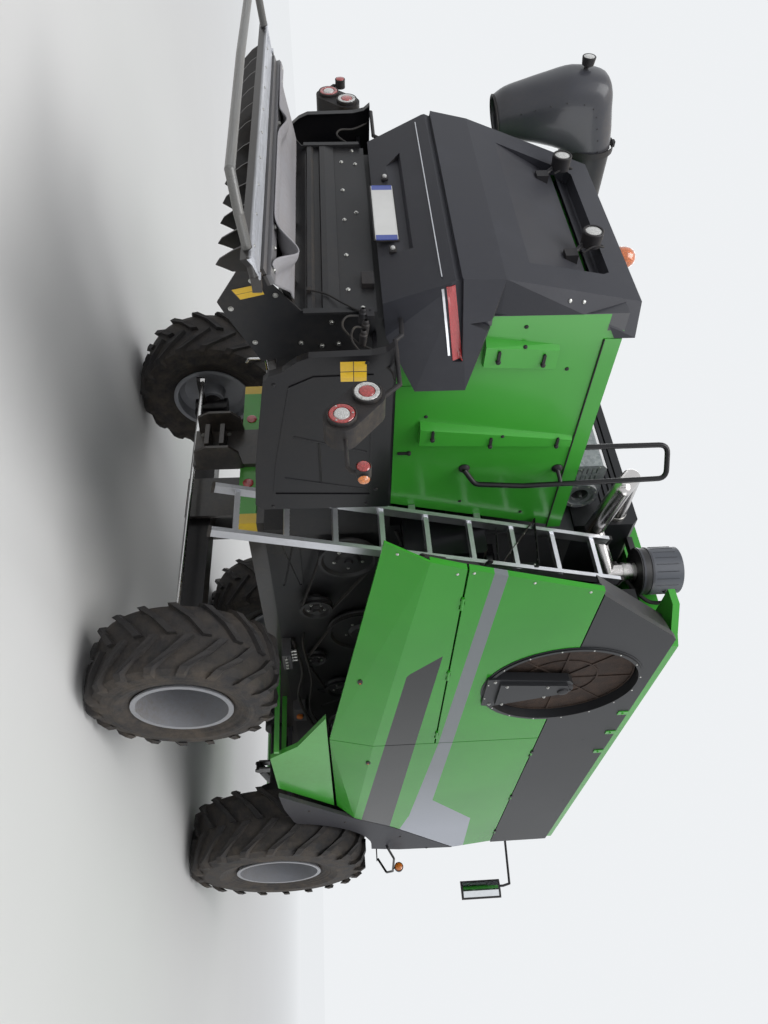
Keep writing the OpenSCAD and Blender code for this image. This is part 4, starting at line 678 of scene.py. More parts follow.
def bolt(at, axis, r=11, kind="hex", mat=0):
    """A hex bolt on its washer, or a round head."""
    if kind == "hex":
        lathe([(0, 0), (0, r * 1.45), (r * 0.22, r * 1.45), (r * 0.22, r * 0.9)], at, axis, 14, mat)
        lathe([(r * 0.2, r), (r * 0.85, r), (r, r * 0.82), (r, 0)], at, axis, 6, mat)
    else:
        lathe([(0, r), (r * 0.35, r * 0.94), (r * 0.62, r * 0.6), (r * 0.66, r * 0.28), (r * 0.5, 0)], at, axis, 14, mat)


def bolts(name, node, spots, d, mat, r, kind="round", body=BODY):
    """Bolts where lines from the spots along d meet a CAD node."""
    for p in spots:
        at, n = onto(node, p, d)
        bolt(at, n, r, kind)
    piece(name, mat, body)


# Cable from the lamps' bracket to the clip under the housing's lower edge
cable_path = smooth_path(pts(*((-2440.5, y, z) for y, z in (
    (-806, 1826), (-775, 1772), (-715, 1700), (-650, 1628), (-616, 1545)))), 7)
tube(cable_path, 5, 12)
cable = piece("lamp_cable", "rubber")
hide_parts("rear_cable")

# Rear hood: reflectors in the grooves, a bright aluminium strip under them that is a painted highlight of the groove's
# edge, bolts and latches
for s, w in SIDES:
    d, out = (0, -s, 0), Vector((0, s, 0))
    patch("groove_reflector_" + w, "rear_hood", wall(s, 860, (-2566, 2175), (-2169, 2233), (-2167, 2283), (-2574, 2214)),
          d, "reflector", 4)
    # painted highlight: a thin bright aluminium strip along the groove's edge stands for the light caught on the
    # crease
    patch("groove_highlight_strip_" + w, "rear_hood", wall(s, 860, (-2553, 2154), (-2200, 2208), (-2200, 2219), (-2556, 2165)),
          d, "alu", 3, 10, 1)
    patch("plate_sticker_" + w, "chopper_housing", wall(s, 800, (-2584, 1335), (-2554, 1202), (-2499, 1237), (-2527, 1355)),
          d, "sticker", nu=4)
    patch("cover_sticker_" + w, "side_covers", wall(s, 1200, (-2430, 1680), (-2310, 1680), (-2310, 1800), (-2430, 1800)),
          d, "sticker4", nu=4)
    bolts("flange_bolts_" + w, "rear_hood", wall(s, 900, (-2417, 2856), (-2436, 2782)), d, "zinc", 10)
    bolts("hood_plugs_" + w, "straw_hood", wall(s, 1000, (-2300, 2592), (-2021, 2850), (-1700, 2141), (-1560, 2576),
          (-2196, 2600), (-950, 2400), (-820, 2800)), d, "plastic_black", 11)
    for x, z, along in ((-2112, 2707, FORWARD), (-1490, 2900, FORWARD), (-1520, 2513, FORWARD), (-1600, 2180, FORWARD),
                        (-2154, 2470, FORWARD), (-1418, 2030, UP)):
        at = onto("straw_hood", P(x, s * 1000, z), d)[0]
        along = Vector(along)
        across = along.cross(out)
        prism([at + (along * a + across * b) / 1000 for a, b in ((-36, -5), (-31, -8), (30, -8), (36, -4), (36, 4),
              (30, 8), (-31, 8), (-36, 5))], out * 0.012)
        lathe([(0, 13), (14, 13), (19, 9), (20, 0)], at + along * 0.030, out, 18)
    piece("hood_latches_" + w, "plastic_black", bevel=1.5)
    # painted shade: a thin black tube along the lower edge of the roof's lap stands in for the shadow under the lap
    tube(wall(s, 754.5, (-2212, 2997), (-1400, 2997), (-655, 2997)), 5, 8)
    piece("hood_lap_shadow_strip_" + w, "rubber")
# painted highlight: the same bright strip across the rear face, under the groove
tube([onto("rear_hood", P(-2800, -720 + 72 * k, 2160), FORWARD)[0] for k in range(21)],
     section=[(-6, -2), (6, -2), (6, 3), (-6, 3)])
piece("rear_highlight_strip", "alu")


# Blank number plate in its holder, with its two lamps
def rounded(y0, y1, z0, z1, r, x):
    """An outline across the machine with rounded corners."""
    out = []
    for cy, cz, start in ((y1 - r, z1 - r, 0), (y0 + r, z1 - r, 90), (y0 + r, z0 + r, 180), (y1 - r, z0 + r, 270)):
        out += [P(x, cy + r * a, cz + r * b) for a, b in circle(12, start)[:4]]
    return out


prism(rounded(-312, 202, 1874, 2002, 14, -2488.5), V(-6, 0, 0))
prism(rounded(-305, 195, 1881, 1995, 10, -2494.5), V(-2.2, 0, 0), 1)
tube(rounded(-301, 191, 1885, 1991, 8, -2496.8), 1.3, 6, 1, True)
piece("blank_plate", "plastic_black plate")
for y in (-375, 285):
    at = onto("rear_hood", P(-2800, y, 1962), FORWARD)[0]
    slab(at + V(-14, -26, -18), at + V(4, 26, 18))
    lathe([(0, 13), (8, 12), (11, 7), (12, 0)], at + V(-14, 0, 0), BACK, 16, 1)
piece("plate_lamps", "plastic_black clear", bevel=3)

# Lamps
for c in pts((-2503, 470, 2975), (-2503, -270, 2985)):
    lathe([(-30, 53.5), (2, 54.5), (6.5, 50), (6.5, 43.5), (1, 42)], c, BACK, 32)
    lathe([(0.8, 42.5), (3, 38), (5.5, 24), (6.2, 0)], c, BACK, 32, 1)
    for a, b in circle(8, 22.5):
        slab(c + V(18, 30 * a - 4, 30 * b - 4), c + V(50, 30 * a + 4, 30 * b + 4))
piece("work_lamp_lenses", "plastic_black clear")
for s, w in SIDES:
    for x, y, z, ring, mid in ((-2432, 1310, 1790, 2, 1), (-2424, 1430, 1680, 1, 2)):
        c = P(x, s * y, z)
        lathe([(-12, 63), (4, 64), (8, 61), (8, 58), (3, 57.5)], c, BACK, 40)
        lathe([(3, 57.8), (8.5, 53), (9.5, 46), (7.5, 37), (3, 35.5)], c, BACK, 40, ring)
        lathe([(3, 35.2), (9, 31), (11, 18), (11.5, 0)], c, BACK, 40, mid)
        for a, b in circle(3, 90):
            lathe([(6, 5), (10.5, 4.5), (10.5, 0)], c + V(0, 46.5 * a, 46.5 * b), BACK, 8, 3)
    c = P(-2385, s * 1686, 1758)
    lathe([(-6, 32.5), (3, 33), (6, 30), (3, 29)], c, BACK, 28)
    lathe([(2, 29.5), (9, 24), (12, 12), (12.5, 0)], c, BACK, 28, 1)
    lathe([(0, 24.5), (4.5, 22), (7.5, 12), (8, 0)], P(-2350, s * 1724, 1758), (0, s, 0), 24, 4)
    piece("rear_lenses_" + w, "plastic_black red clear zinc amber")
dome = [math.radians(a) for a in (0, 20, 40, 58, 75)]
lathe([(3158, 59.5)] + [(3166 + 11.5 * k, 60.5 if k % 2 else 59.2) for k in range(12)] +
      [(3304 + 59.5 * math.sin(a), 59.5 * math.cos(a)) for a in dome] + [(3364.5, 0)], P(-2158, 0, 0), UP, 40)
piece("beacon_lens", "beacon", angle=60)
lathe([(3087.2, 78), (3094, 78), (3100, 70), (3150, 63.5), (3159, 63.5), (3159, 58)], P(-2158, 0, 0), UP, 40)
for a, b in circle(3, 30):
    bolt(P(-2158 + 71 * a, 71 * b, 3094), UP, 5)
piece("beacon_foot", "rubber")

# Housing's bolts, the connectors and the wires between them
bolts("housing_bolts", "chopper_housing", [P(-2800, y, z) for y, z in ((596, 1735), (13, 1735), (-580, 1735), (79, 1800),
      (-531, 1848), (572, 1813), (300, 1735), (-300, 1735), (720, 1800), (-720, 1800))], FORWARD, "zinc", 8, "hex")
for s, w in SIDES:
    bolts("side_plate_bolts_" + w, "chopper_housing", wall(s, 1000, (-2230, 1800), (-2230, 1680), (-2220, 1600),
          (-2240, 1500), (-2360, 1650), (-2520, 1400), (-2600, 1300), (-2450, 1190), (-2250, 1280)), (0, -s, 0), "zinc", 9, "hex")
    bolts("cover_bolts_" + w, "side_covers", wall(s, 1400, (-2280, 1850), (-1540, 1850), (-2420, 1800), (-1420, 1800),
          (-1420, 1300), (-2300, 1380)), (0, -s, 0), "black", 10)
    # pressed lines of the cover
    for ends in (((-1832, 1800), (-1957, 1447)), ((-1541, 1800), (-1651, 1382)), ((-1909, 1566), (-1618, 1564))):
        tube(line(*wall(s, 1111.5, *ends), 6), 6, 8)
    piece("cover_beads_" + w, "black")
slab(P(-2440, -575, 1800), P(-2409, -478, 1862))
for c in pts((-2437, -805, 1795), (-2437, -890, 1803), (-2437, -960, 1790)):
    lathe([(-40, 16), (0, 19), (12, 19), (14, 15), (28, 14), (34, 9)], c, (-1, 0.15, 0.1), 16)
piece("rear_connectors", "plastic_black", bevel=3)
for way in (((-2410, 500, 3020), (-2425, 470, 3045), (-2450, 440, 3000), (-2430, 410, 2930)),
            ((-2410, -240, 3030), (-2425, -290, 3050), (-2450, -320, 2990), (-2430, -345, 2930)),
            ((-2430, -805, 1795), (-2455, -840, 1720), (-2445, -900, 1700), (-2400, -950, 1760), (-2395, -1020, 1850),
             (-2395, -1100, 1915)),
            ((-2430, -890, 1803), (-2455, -920, 1750), (-2430, -980, 1740), (-2390, -1040, 1800), (-2385, -1120, 1900),
             (-2385, -1200, 1920)),
            ((-2410, 790, 1790), (-2430, 860, 1720), (-2420, 950, 1740), (-2390, 1020, 1820), (-2390, 1100, 1915))):
    tube(smooth_path(pts(*way), 6), 5.5, 8)
piece("lamp_wires", "rubber")

# Tailboard: bolts and rivets, and the rubber flap laid over the board with its folds
TILT_C, TILT_S = 0.9583, 0.2857     # of the board's slope
BOARD_UP = Vector((-TILT_S, 0, TILT_C))


def on_board(u, y, w):
    """A point u forward along the board and w above it."""
    return P(-2440 + TILT_C * u - TILT_S * w, y, 1470 + TILT_S * u + TILT_C * w)


for k in range(13):
    bolt(on_board(-335, -930 + 155 * k, 45), BOARD_UP, 9)
for k in range(9):
    bolt(on_board(-460, -920 + 230 * k, 12), BOARD_UP, 7, "round")
piece("tailboard_bolts", "zinc", "tailboard_assembly")
NU, NV, FLAP_WIDTH = 34, 120, 1.86


def hump(v, middle, half):
    return ((v - middle) / half) ** 2


def flap_point(a, b):
    """a runs back along the flap from 0 to 1, b across it from the right end at -1 to the left end at 1."""
    y = (730 + 200 * min(1.0, a * 1.35)) * b + (30 * a if b > 0 else 0)
    right_fold = math.exp(-hump(y, -795, 115 if y > -795 else 62))
    left_fold = math.exp(-hump(y, 300, 80))
    w = 16.5 + 32 / (1 + math.exp(-(a - 0.80) * 34)) + right_fold * 94 * a ** 1.2 + left_fold * 42 * a ** 1.5
    w += 38 * math.exp(-hump(y, 520, 180) - hump(a, 0.52, 0.30)) + 24 * math.exp(-hump(y, -200, 400) - hump(a, 0.45, 0.30))
    w += 1.6 * math.sin(0.011 * y + 3.0 * a) * a * (1 - a) * 4
    return on_board(-30 - 333 * a + 60 * right_fold * a ** 2 + 10 * left_fold * a, y, w)


skin([[flap_point(i / NU, -1 + 2 * j / NV) for j in range(NV + 1)] for i in range(NU + 1)], ring=False)
flap = piece("rubber_sheet", "flap", "tailboard_assembly", 80)
thicken(flap, 5)
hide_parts("rubber_flap")
slab(P(-2448, -828, 1812), P(-2433.5, -770, 1848))
slab(P(-2447.5, -627, 1536), P(-2428, -603, 1557))
bolt(P(-2448, -785, 1830), BACK, 5)
piece("cable_clips", "plastic_black", bevel=2)

# Hand rail, bent from one tube
tube(filleted(pts((-1262, -770, 2395), (-1203, -828, 2455), (-1178, -832, 2740), (-1203, -830, 3606),
                      (-1356, -700, 3606), (-1356, -700, 3092)), 55), 16, 14)
tube(filleted(pts((-1236, -764, 2955), (-1205, -800, 2966), (-1187, -831, 2970)), 30), 12.5, 12)
for x, z in ((-1262, 2395), (-1236, 2955)):
    lathe([(0, 34), (6, 34), (10, 30), (22, 20), (24, 14)], P(x, -750.5, z), RIGHT)
    for a, b in circle(3):
        bolt(P(x + 26 * a, -757, z + 26 * b), RIGHT, 4.5)
lathe([(0, 36), (6, 36), (10, 30), (12, 16)], P(-1356, -700, 3087.2), UP)
rail = piece("hand_rail_tube", "black")
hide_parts("hand_rail")

# Spout: one smooth shell that narrows to its mouth, with a rolled rim and a clamp
OUTER = ((-2150, 3513), (-2290, 3489), (-2430, 3457), (-2555, 3425), (-2618, 3365), (-2640, 3190), (-2602, 3035),
         (-2560, 2895), (-2520, 2775), (-2466, 2706))
INNER = ((-2150, 3187), (-2163, 3165), (-2176, 3125), (-2190, 3075), (-2200, 3030), (-2209, 2985), (-2216, 2925),
         (-2223, 2860), (-2229, 2800), (-2238, 2736))
AROUND, SPOUT_Y = 44, 1240
outer, inner = (smooth_path([(x, 0, z) for x, z in way], 4) for way in (OUTER, INNER))
rings = []
for k, (o, i) in enumerate(zip(outer, inner)):
    t = k / (len(outer) - 1)
    c, h = (o + i) / 2, (o - i) / 2
    wide = 165 + 10 * math.sin(min(1.0, t * 3) * math.pi / 2) - 20 * max(0.0, t - 0.55) / 0.45
    power = 1.0 - 0.28 * math.sin(math.pi * min(1.0, t * 1.1)) * (1 if t < 0.9 else 0.6)
    row = []
    for ca, sa in circle(AROUND):
        q = c + h * math.copysign(abs(ca) ** power, ca)
        row.append(P(q.x, SPOUT_Y + wide * math.copysign(abs(sa) ** power, sa), q.z))
    rings.append(row)
skin(rings)
spout = piece("spout_shell", "lid", "unloading_auger", 50)
thicken(spout, 6, -1.0)
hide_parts("unload_spout")
tube(rings[-1], 6, 8, 0, True)
for row in rings[2:30:3]:
    c = sum(row, Vector()) / AROUND
    for v in (row[9], row[35]):
        lathe([(-2, 5), (2, 4.5), (3.2, 0)], v, v - c, 8)
lathe([(-20, 176), (-20, 182), (20, 182), (20, 176)], P(-2172, SPOUT_Y, 3350), FORWARD, AROUND)
slab(P(-2190, 1222, 3528), P(-2154, 1258, 3545))
tube(pts((-2620, SPOUT_Y, 3245), (-2655, SPOUT_Y, 3252)), 14)
lamp_at = P(-2706, SPOUT_Y, 3255)
lathe([(-55, 20), (-45, 36), (-10, 41), (0, 42), (3, 39), (3, 35)], lamp_at, BACK, 28)
lathe([(1, 35.5), (4, 26), (5, 0)], lamp_at, BACK, 28, 2)
piece("spout_trim", "plastic_black zinc clear", "unloading_auger")

# Ladder: end caps, fold lock and treads
LOW, HIGH, RUNGS, STEEP = P(-1233, 0, 930), P(-540, 0, 3430), 9, 2.594
LU = (HIGH - LOW).normalized()
LW = Vector((LU.z, 0, -LU.x))


def on_ladder(c, a, y, b):
    return c + (LW * a + LU * b) / 1000 + V(0, y, 0)


for y in (-1122.5, -807.5):
    for base, way in ((LOW, -1), (HIGH, 1)):
        prism([on_ladder(base, a, y + b, -12 * way) for a, b in corners(35, 16)], LU * way * 0.018)
FOLD = ((-844, 2549), (-939, 2133), (-920, 2078))
tube(filleted(wall(-1, 1139, FOLD[0], (-809, 2512), *FOLD[1:]), 20), section=corners(13, 3))
for c in wall(-1, 1139, FOLD[0], (-812, 2505), *FOLD[1:]):
    lathe([(-3, 19), (4, 19), (7, 15), (8, 0)], c, RIGHT, 20)
piece("ladder_caps", "rubber", bevel=2)
for k in range(RUNGS):
    c = LOW + LU * (STEEP * (k + 0.5) / RUNGS)
    prism([on_ladder(c, a, -1135.5, b) for a, b in corners(16.5, 14.5)], V(0, 1, 0))
    for y in range(-1085, -844, 30):
        prism([on_ladder(c, a, y + b, 14.9) for a, b in ((-13, 0), (13, 0), (13, 6), (-13, 6))], LU * 0.0022)
piece("ladder_treads", "alu")

# Exhaust and air intake: ring bolts, dark mouth, blue cap; the cleaner's ribs, hose and clamps
for a, b in circle(8, 22.5):
    bolt(P(-625 + 105 * a, -494, 3285 + 105 * b), RIGHT, 6)
for p in wall(-1, 600, (-880, 3120), (-510, 3120), (-880, 3370), (-510, 3370), (-700, 3120), (-860, 3250)):
    bolt(onto("exhaust_box", p, LEFT)[0], RIGHT, 6)
piece("exhaust_bolts", "zinc")
lathe([(0, 57), (-45, 55), (-45.5, 0)], P(-625, -462, 3285), RIGHT, 28)
lathe([(-30, 14), (12, 14), (16, 10), (17, 0)], P(-625, -484, 3285), RIGHT, 20)
piece("exhaust_mouth", "iron")
lathe([(0, 30), (14, 30), (20, 24), (22, 0)], onto("exhaust_box", P(-520, -600, 3165), LEFT)[0], RIGHT)
piece("blue_filler_cap", "blue")
cleaner = P(-300, -904, 0)
for z in (3664, 3722):
    lathe([(z - 7, 158.2), (z - 7, 162.5), (z + 7, 162.5), (z + 7, 158.2)], cleaner, UP, 48)
for a, b in circle(20):
    e, f, foot = Vector((a, b, 0)), Vector((-b, a, 0)), cleaner + V(0, 0, 3745)
    prism([foot + e * 0.1575 - f * 0.003, foot + e * 0.162, foot + e * 0.1575 + f * 0.003], V(0, 0, 150))
lathe([(3926.5, 0), (3926.5, 52), (3924.5, 50), (3924.5, 0)], cleaner, UP, 32)
piece("precleaner_ribs", "lid")
tube(smooth_path(pts((-295, -1062, 3810), (-250, -1090, 3855), (-190, -1090, 3845), (-165, -1070, 3750),
                         (-220, -1030, 3660), (-280, -960, 3580), (-360, -860, 3500)), 6), 14)
piece("dust_hose", "rubber")
for at, axis in ((P(-300, -904, 3630), UP), (P(-515, -560, 3550), FORWARD), (P(-300, -904, 3560), UP)):
    lathe([(-10, 62.2), (-10, 65.5), (10, 65.5), (10, 62.2)], at, axis, 36)
piece("pipe_clamps", "zinc")

# Open riveted frame behind the ladder's top, bolted to the panel's post at its outer corner
for s, w in SIDES:
    high, far, low, end = pts((-735, 755, 2905), (-735, 1100, 2870), (-735, 755, 2650), (-735, 1118, 2620), s=s)
    for p, q in ((high, end), (high, far), (low, end), (far, end)):
        tube([p, (p + q) / 2, q], section=corners(20, 2))
        for k in range(5):
            lathe([(0, 6), (3, 5), (4, 0)], p.lerp(q, (k + 0.5) / 5) + V(-3, 0, 0), BACK, 8, 1)
    slab(P(-742, s * 1100, 2700), P(-732, s * 1425, 2740))
piece("riveted_frames", "black zinc", bevel=1)

# Side panels: latches, bolts, roof tabs, the dust screen's hub
for s, w in SIDES:
    d = (0, -s, 0)
    for end, x, z, door in (("rear", 56, 1752, w + "_lower_door"), ("front", 1443, 1810, w + "_front_door")):
        at, nor = onto(door, P(x, s * 1700, z), d)
        for r, h in ((1.0, 0.004), (0.72, 0.007)):
            prism([at + V(36 * r * a, 0, 20 * r * b) for a, b in circle(24)], nor * h)
        prism([at + nor * 0.0065 + V(a, 0, b) for a, b in ((4, -6), (18, -6), (18, 6), (4, 6))], nor * 0.0025, 1)
        piece(f"{end}_latch_{w}", "plastic_black orange", door, bevel=1)
    bolts("panel_bolts_" + w, "upper_panels", wall(s, 1700, (-1042, 3037), (-1162, 2700), (-1284, 2354)), d, "zinc", 9)
    bolts("door_bolts_" + w, w + "_lower_door", wall(s, 1700, (-1281, 2265), (-1420, 1945)), d, "zinc", 9,
          body=w + "_lower_door")
    bolts("fender_bolts_" + w, "fenders", wall(s, 1700, (3000, 1600), (2600, 1280), (3600, 2150), (4080, 2450)), d,
          "plastic_black", 12)
for x in (680, 1047, 1443):
    slab(P(x - 25, -1508, 3640), P(x + 25, -1500, 3715))
    bolt(P(x, -1508, 3675), RIGHT, 8)
piece("roof_tabs", "green", bevel=1)
HUB_X, HUB_Z = 165, 3115
lathe([(-40, 75), (2, 75), (8, 68), (12, 40), (30, 36), (34, 28), (34, 0)], P(HUB_X, -1522, HUB_Z), RIGHT, 32)
for a, b in circle(6, 30):
    bolt(P(HUB_X + 55 * a, -1530.2, HUB_Z + 55 * b), RIGHT, 7)
piece("screen_hub", "plastic_black")
for p in wall(-1, 1800, (90, 3000), (235, 3000), (50, 2720), (320, 2720), (20, 2640), (360, 2640)):
    bolt(onto("screen_frame", p, LEFT)[0], RIGHT, 8)
for a, b in circle(16, 11):
    bolt(onto("screen_frame", P(HUB_X + 526 * a, -1800, HUB_Z + 526 * b), LEFT)[0], RIGHT, 6, "round")
piece("screen_bolts", "zinc")


def hull(spots):
    """Convex outline of points in the plane, counter-clockwise."""
    def half(seq):
        out = []
        for p in seq:
            while len(out) > 1 and (out[-1][0] - out[-2][0]) * (p[1] - out[-2][1]) <= (
                    (out[-1][1] - out[-2][1]) * (p[0] - out[-2][0])):
                out.pop()
            out.append(p)
        return out[:-1]
    spots = sorted(set(spots))
    return half(spots) + half(spots[::-1])


# Drives on both flanks of the threshing body: pulleys, belts, hoses, valve blocks and covers under the side panels
FLANK = 699         # the body's wall, from the middle
DRIVES = (((620, 1800, 270), (1620, 1620, 150), (1050, 1420, 90)), ((-420, 1700, 200), (200, 1460, 120)),
          ((2250, 1720, 240), (2950, 1480, 130)))
HOSES = (
    (13, ((800, 700, 1240), (820, 760, 1260), (1200, 790, 1300), (1700, 800, 1240), (2300, 780, 1320), (2600, 710, 1360))),
    (10, ((720, 700, 1340), (800, 780, 1330), (1300, 820, 1370), (1900, 820, 1330), (2450, 770, 1420), (2660, 710, 1480))),
    (12, ((-600, 700, 2020), (-400, 740, 2060), (300, 750, 2030), (1200, 750, 2070), (2600, 740, 2040), (3600, 710, 2080))),
    (9, ((-600, 700, 2080), (-300, 730, 2110), (600, 740, 2080), (1500, 740, 2120), (2800, 730, 2090), (3600, 710, 2130))))
for s, w in SIDES:
    side = (0, s, 0)
    for k, drive in enumerate(DRIVES):
        h = 61 + 30 * k
        y = FLANK + h
        for x, z, r in drive:
            lathe([(0, 50), (h - 30, 45), (h - 30, r), (h - 18, r), (h - 4, r - 14), (h + 4, r - 14), (h + 18, r),
                       (h + 26, r), (h + 26, r - 20), (h + 6, r - 35), (h + 6, r * 0.42), (h + 28, r * 0.34), (h + 28, 30),
                       (h + 45, 28), (h + 46, 0)], P(x, s * FLANK, z), side, 40)
            for a, b in circle(5):
                bolt(P(x + r * 0.5 * a, s * (y + 6), z + r * 0.5 * b), side, 8, mat=2)
        round_belt = hull([(round(x + (r - 12) * a, 2), round(z + (r - 12) * b, 2))
                           for x, z, r in drive for a, b in circle(48)])
        loop = []
        for a, b in zip(round_belt, round_belt[1:] + round_belt[:1]):
            loop += line(*wall(s, y, a, b), max(1, int(math.dist(a, b) / 60)))[:-1]
        tube(loop, 8, 8, 1, True)
        tube([p + V(0, s * 16, 0) for p in loop], 7.5, 8, 1, True)
    piece("drive_pulleys_" + w, "dark rubber zinc")
    for r, way in HOSES:
        tube(smooth_path(pts(*way, s=s), 9), r)
    for x in (-200, 700, 1600, 2500):
        slab(P(x, s * FLANK, 2010), P(x + 20, s * 765, 2140))
    piece("flank_hoses_" + w, "rubber")
    # valve block, its unions and the drain cap under the front panel
    slab(P(790, s * FLANK, 1165), P(1020, s * 860, 1235))
    for x in range(825, 976, 50):
        lathe([(0, 16), (12, 16), (12, 12), (40, 12)], P(x, s * 800, 1235), UP, 6, 1)
        lathe([(0, 14), (18, 14), (20, 10), (20, 0)], P(x, s * 860, 1200), side, 16, 1)
    slab(P(1950, s * FLANK, 1170), P(2200, s * 800, 1280))
    lathe([(0, 30), (20, 30), (26, 22), (26, 0)], P(2080, s * 800, 1225), side, 24, 2)
    piece("valve_block_" + w, "iron zinc orange", bevel=2)
    # sheet covers with pressed crosses on the body's wall
    for x0, x1, z0, z1 in ((-600, 20, 1220, 1380), (1750, 2100, 1400, 1950), (3050, 3600, 1250, 1980)):
        prism(wall(s, FLANK + 0.5, (x0, z0), (x1, z0), (x1, z1), (x0, z1)), V(0, s * 12, 0))
        for za, zb in ((z0 + 30, z1 - 30), (z1 - 30, z0 + 30)):
            tube(line(*wall(s, 710.5, (x0 + 40, za), (x1 - 40, zb)), 4), 6, 8)
        for x in (x0 + 20, x1 - 20):
            for z in (z0 + 20, z1 - 20):
                bolt(P(x, s * 711.5, z), side, 7)
    piece("body_covers_" + w, "dark")
    # wheels: valve stems and the oil plug of the hub
    for end, x, y, z, r, hub in (("front", 3900, 1415, 902, 340, 74.4), ("rear", 0, 1395, 611, 245, 58.9)):
        a = math.radians(70)
        c = P(x + r * math.cos(a), s * (y - 82), z + r * math.sin(a))
        tube(smooth_path([c, c + V(0, s * 20, 0), c + V(10, s * 45, 6), c + V(20, s * 60, 14)], 4), 5, 8)
        lathe([(0, 7.5), (12, 7.5), (14, 4), (14, 0)], c + V(20, s * 58, 14), (0.3, s, 0.2), 10)
        for a, b in circle(6):
            bolt(P(x + hub * a, s * (y - 40), z + hub * b), side, 7)
        lathe([(0, 30), (6, 30), (10, 22), (11, 0)], P(x, s * (y - 40), z), side, 20)
        piece(f"{end}_{w}_valve", "zinc", f"{end}_{w}_wheel")
    # lamp on its bracket over the front wheel, shorter on the side of the cab door
    if s < 0:
        lamp_x, rest = 4300, ((3960, 1620, 2090), (4400, 1640, 2090), (4620, 1600, 2030), (4620, 1450, 1940))
        slab(P(4590, -1470, 1925), P(4650, -870, 1937))
    else:
        lamp_x, rest = 4120, ((3940, 1620, 2090), (4130, 1630, 2100), (4160, 1580, 2140), (4095, 1490, 2220))
    tube(filleted(pts((3900, 1440, 2000), (3900, 1530, 2030), *rest, s=s), 30), 12)
    c = P(lamp_x, s * 1640, 2150)
    lathe([(0, 20), (30, 45), (75, 48), (80, 44), (80, 40)], c, BACK, 28)
    lathe([(78, 40.5), (84, 28), (86, 0)], c, BACK, 28, 1)
    tube([c + V(-30, 0, -60), c + V(-30, 0, -30)], 10, 8)
    slab(P(3885, s * 1430, 1985), P(3915, s * 1462, 2020))
    piece("side_lamp_" + w, "black amber")

# Cab: lamps in the roof, wiper, door handle, mirrors, screen, grips and pedals
for y in (-620, -380, 380, 620):
    c = P(5810, y, 3655)
    lathe([(-12, 60), (16, 60), (22, 56), (20, 50), (10, 49)], c, FORWARD, 28)
    lathe([(10, 49.5), (16, 34), (18, 0)], c, FORWARD, 28, 1)
piece("cab_lamps", "plastic_black clear")
top, low = (onto("cab_glass", p, BACK)[0] for p in pts((6200, 0, 3400), (6200, 300, 2620)))
slab(top + V(0, -50, 100), top + V(45, 50, 160))
tube([top + V(30, 0, 120), top + V(22.4, 0, 0), (top + low) / 2 + V(16, 0, 0), low + V(16, 0, 0)], 7, 8)
tube([onto("cab_glass", P(6200, 300 + 20 * k, 3020 - 100 * k), BACK)[0] + V(6, 0, 0) for k in range(9)],
     section=[(-4, -4), (4, -4), (2, 6), (-2, 6)])
piece("wiper", "rubber")
tube(filleted(pts((5245, 880, 2720), (5245, 930, 2720), (5245, 930, 3020), (5245, 880, 3020)), 25), 11)
slab(P(5215, 879.5, 2555), P(5275, 890, 2665))
lathe([(0, 14), (12, 13), (14, 10), (14, 0)], P(5245, 889, 2610), LEFT, 18)
piece("door_handle", "plastic_black", "cab_door", bevel=2)


def upright(x, s, y0, y1, z0, z1):
    """Corners of an upright panel across the machine."""
    return pts((x, y0, z0), (x, y1, z0), (x, y1, z1), (x, y0, z1), s=s)


for s, w in SIDES:
    patch("mirror_glass_" + w, "mirrors", upright(5300, s, 1553, 1718, 2985, 3415), FORWARD, "mirror", nu=10, nv=6)
    prism(upright(5609, s, 1535, 1735, 2965, 3435), V(22, 0, 0))
    prism(upright(5630, s, 1565, 1705, 3000, 3400), V(20, 0, 0))
    piece("mirror_back_" + w, "plastic", bevel=8)
prism(pts((5020, -460, 2620), (5020, -700, 2620), (5060, -700, 2800), (5060, -460, 2800)), V(26, 0, -6))
prism(pts((5019.5, -475, 2634), (5019.5, -685, 2634), (5056, -685, 2787), (5056, -475, 2787)), V(-1.5, 0, 0.4), 1)
tube(pts((5050, -580, 2660), (4990, -560, 2610), (4960, -540, 2585)), 14)
lathe([(0, 20), (30, 30), (70, 32), (100, 24), (112, 10), (114, 0)], P(4955, -500, 2715), (0.35, 0, 1), 20)
for y in (-100, 130, 240):
    prism(pts((5460, y - 35, 2030), (5460, y + 35, 2030), (5530, y + 35, 2120), (5530, y - 35, 2120)), V(10, 0, -8))
    tube(pts((5515, y, 2085), (5530, y, 2040), (5530, y, 2000)), 9, 8)
for x in range(4660, 4969, 28):
    slab(P(x, -600, 2600.5), P(x + 16, -550, 2606.5))
piece("cab_controls_detail", "plastic_black screen_glass", bevel=2)


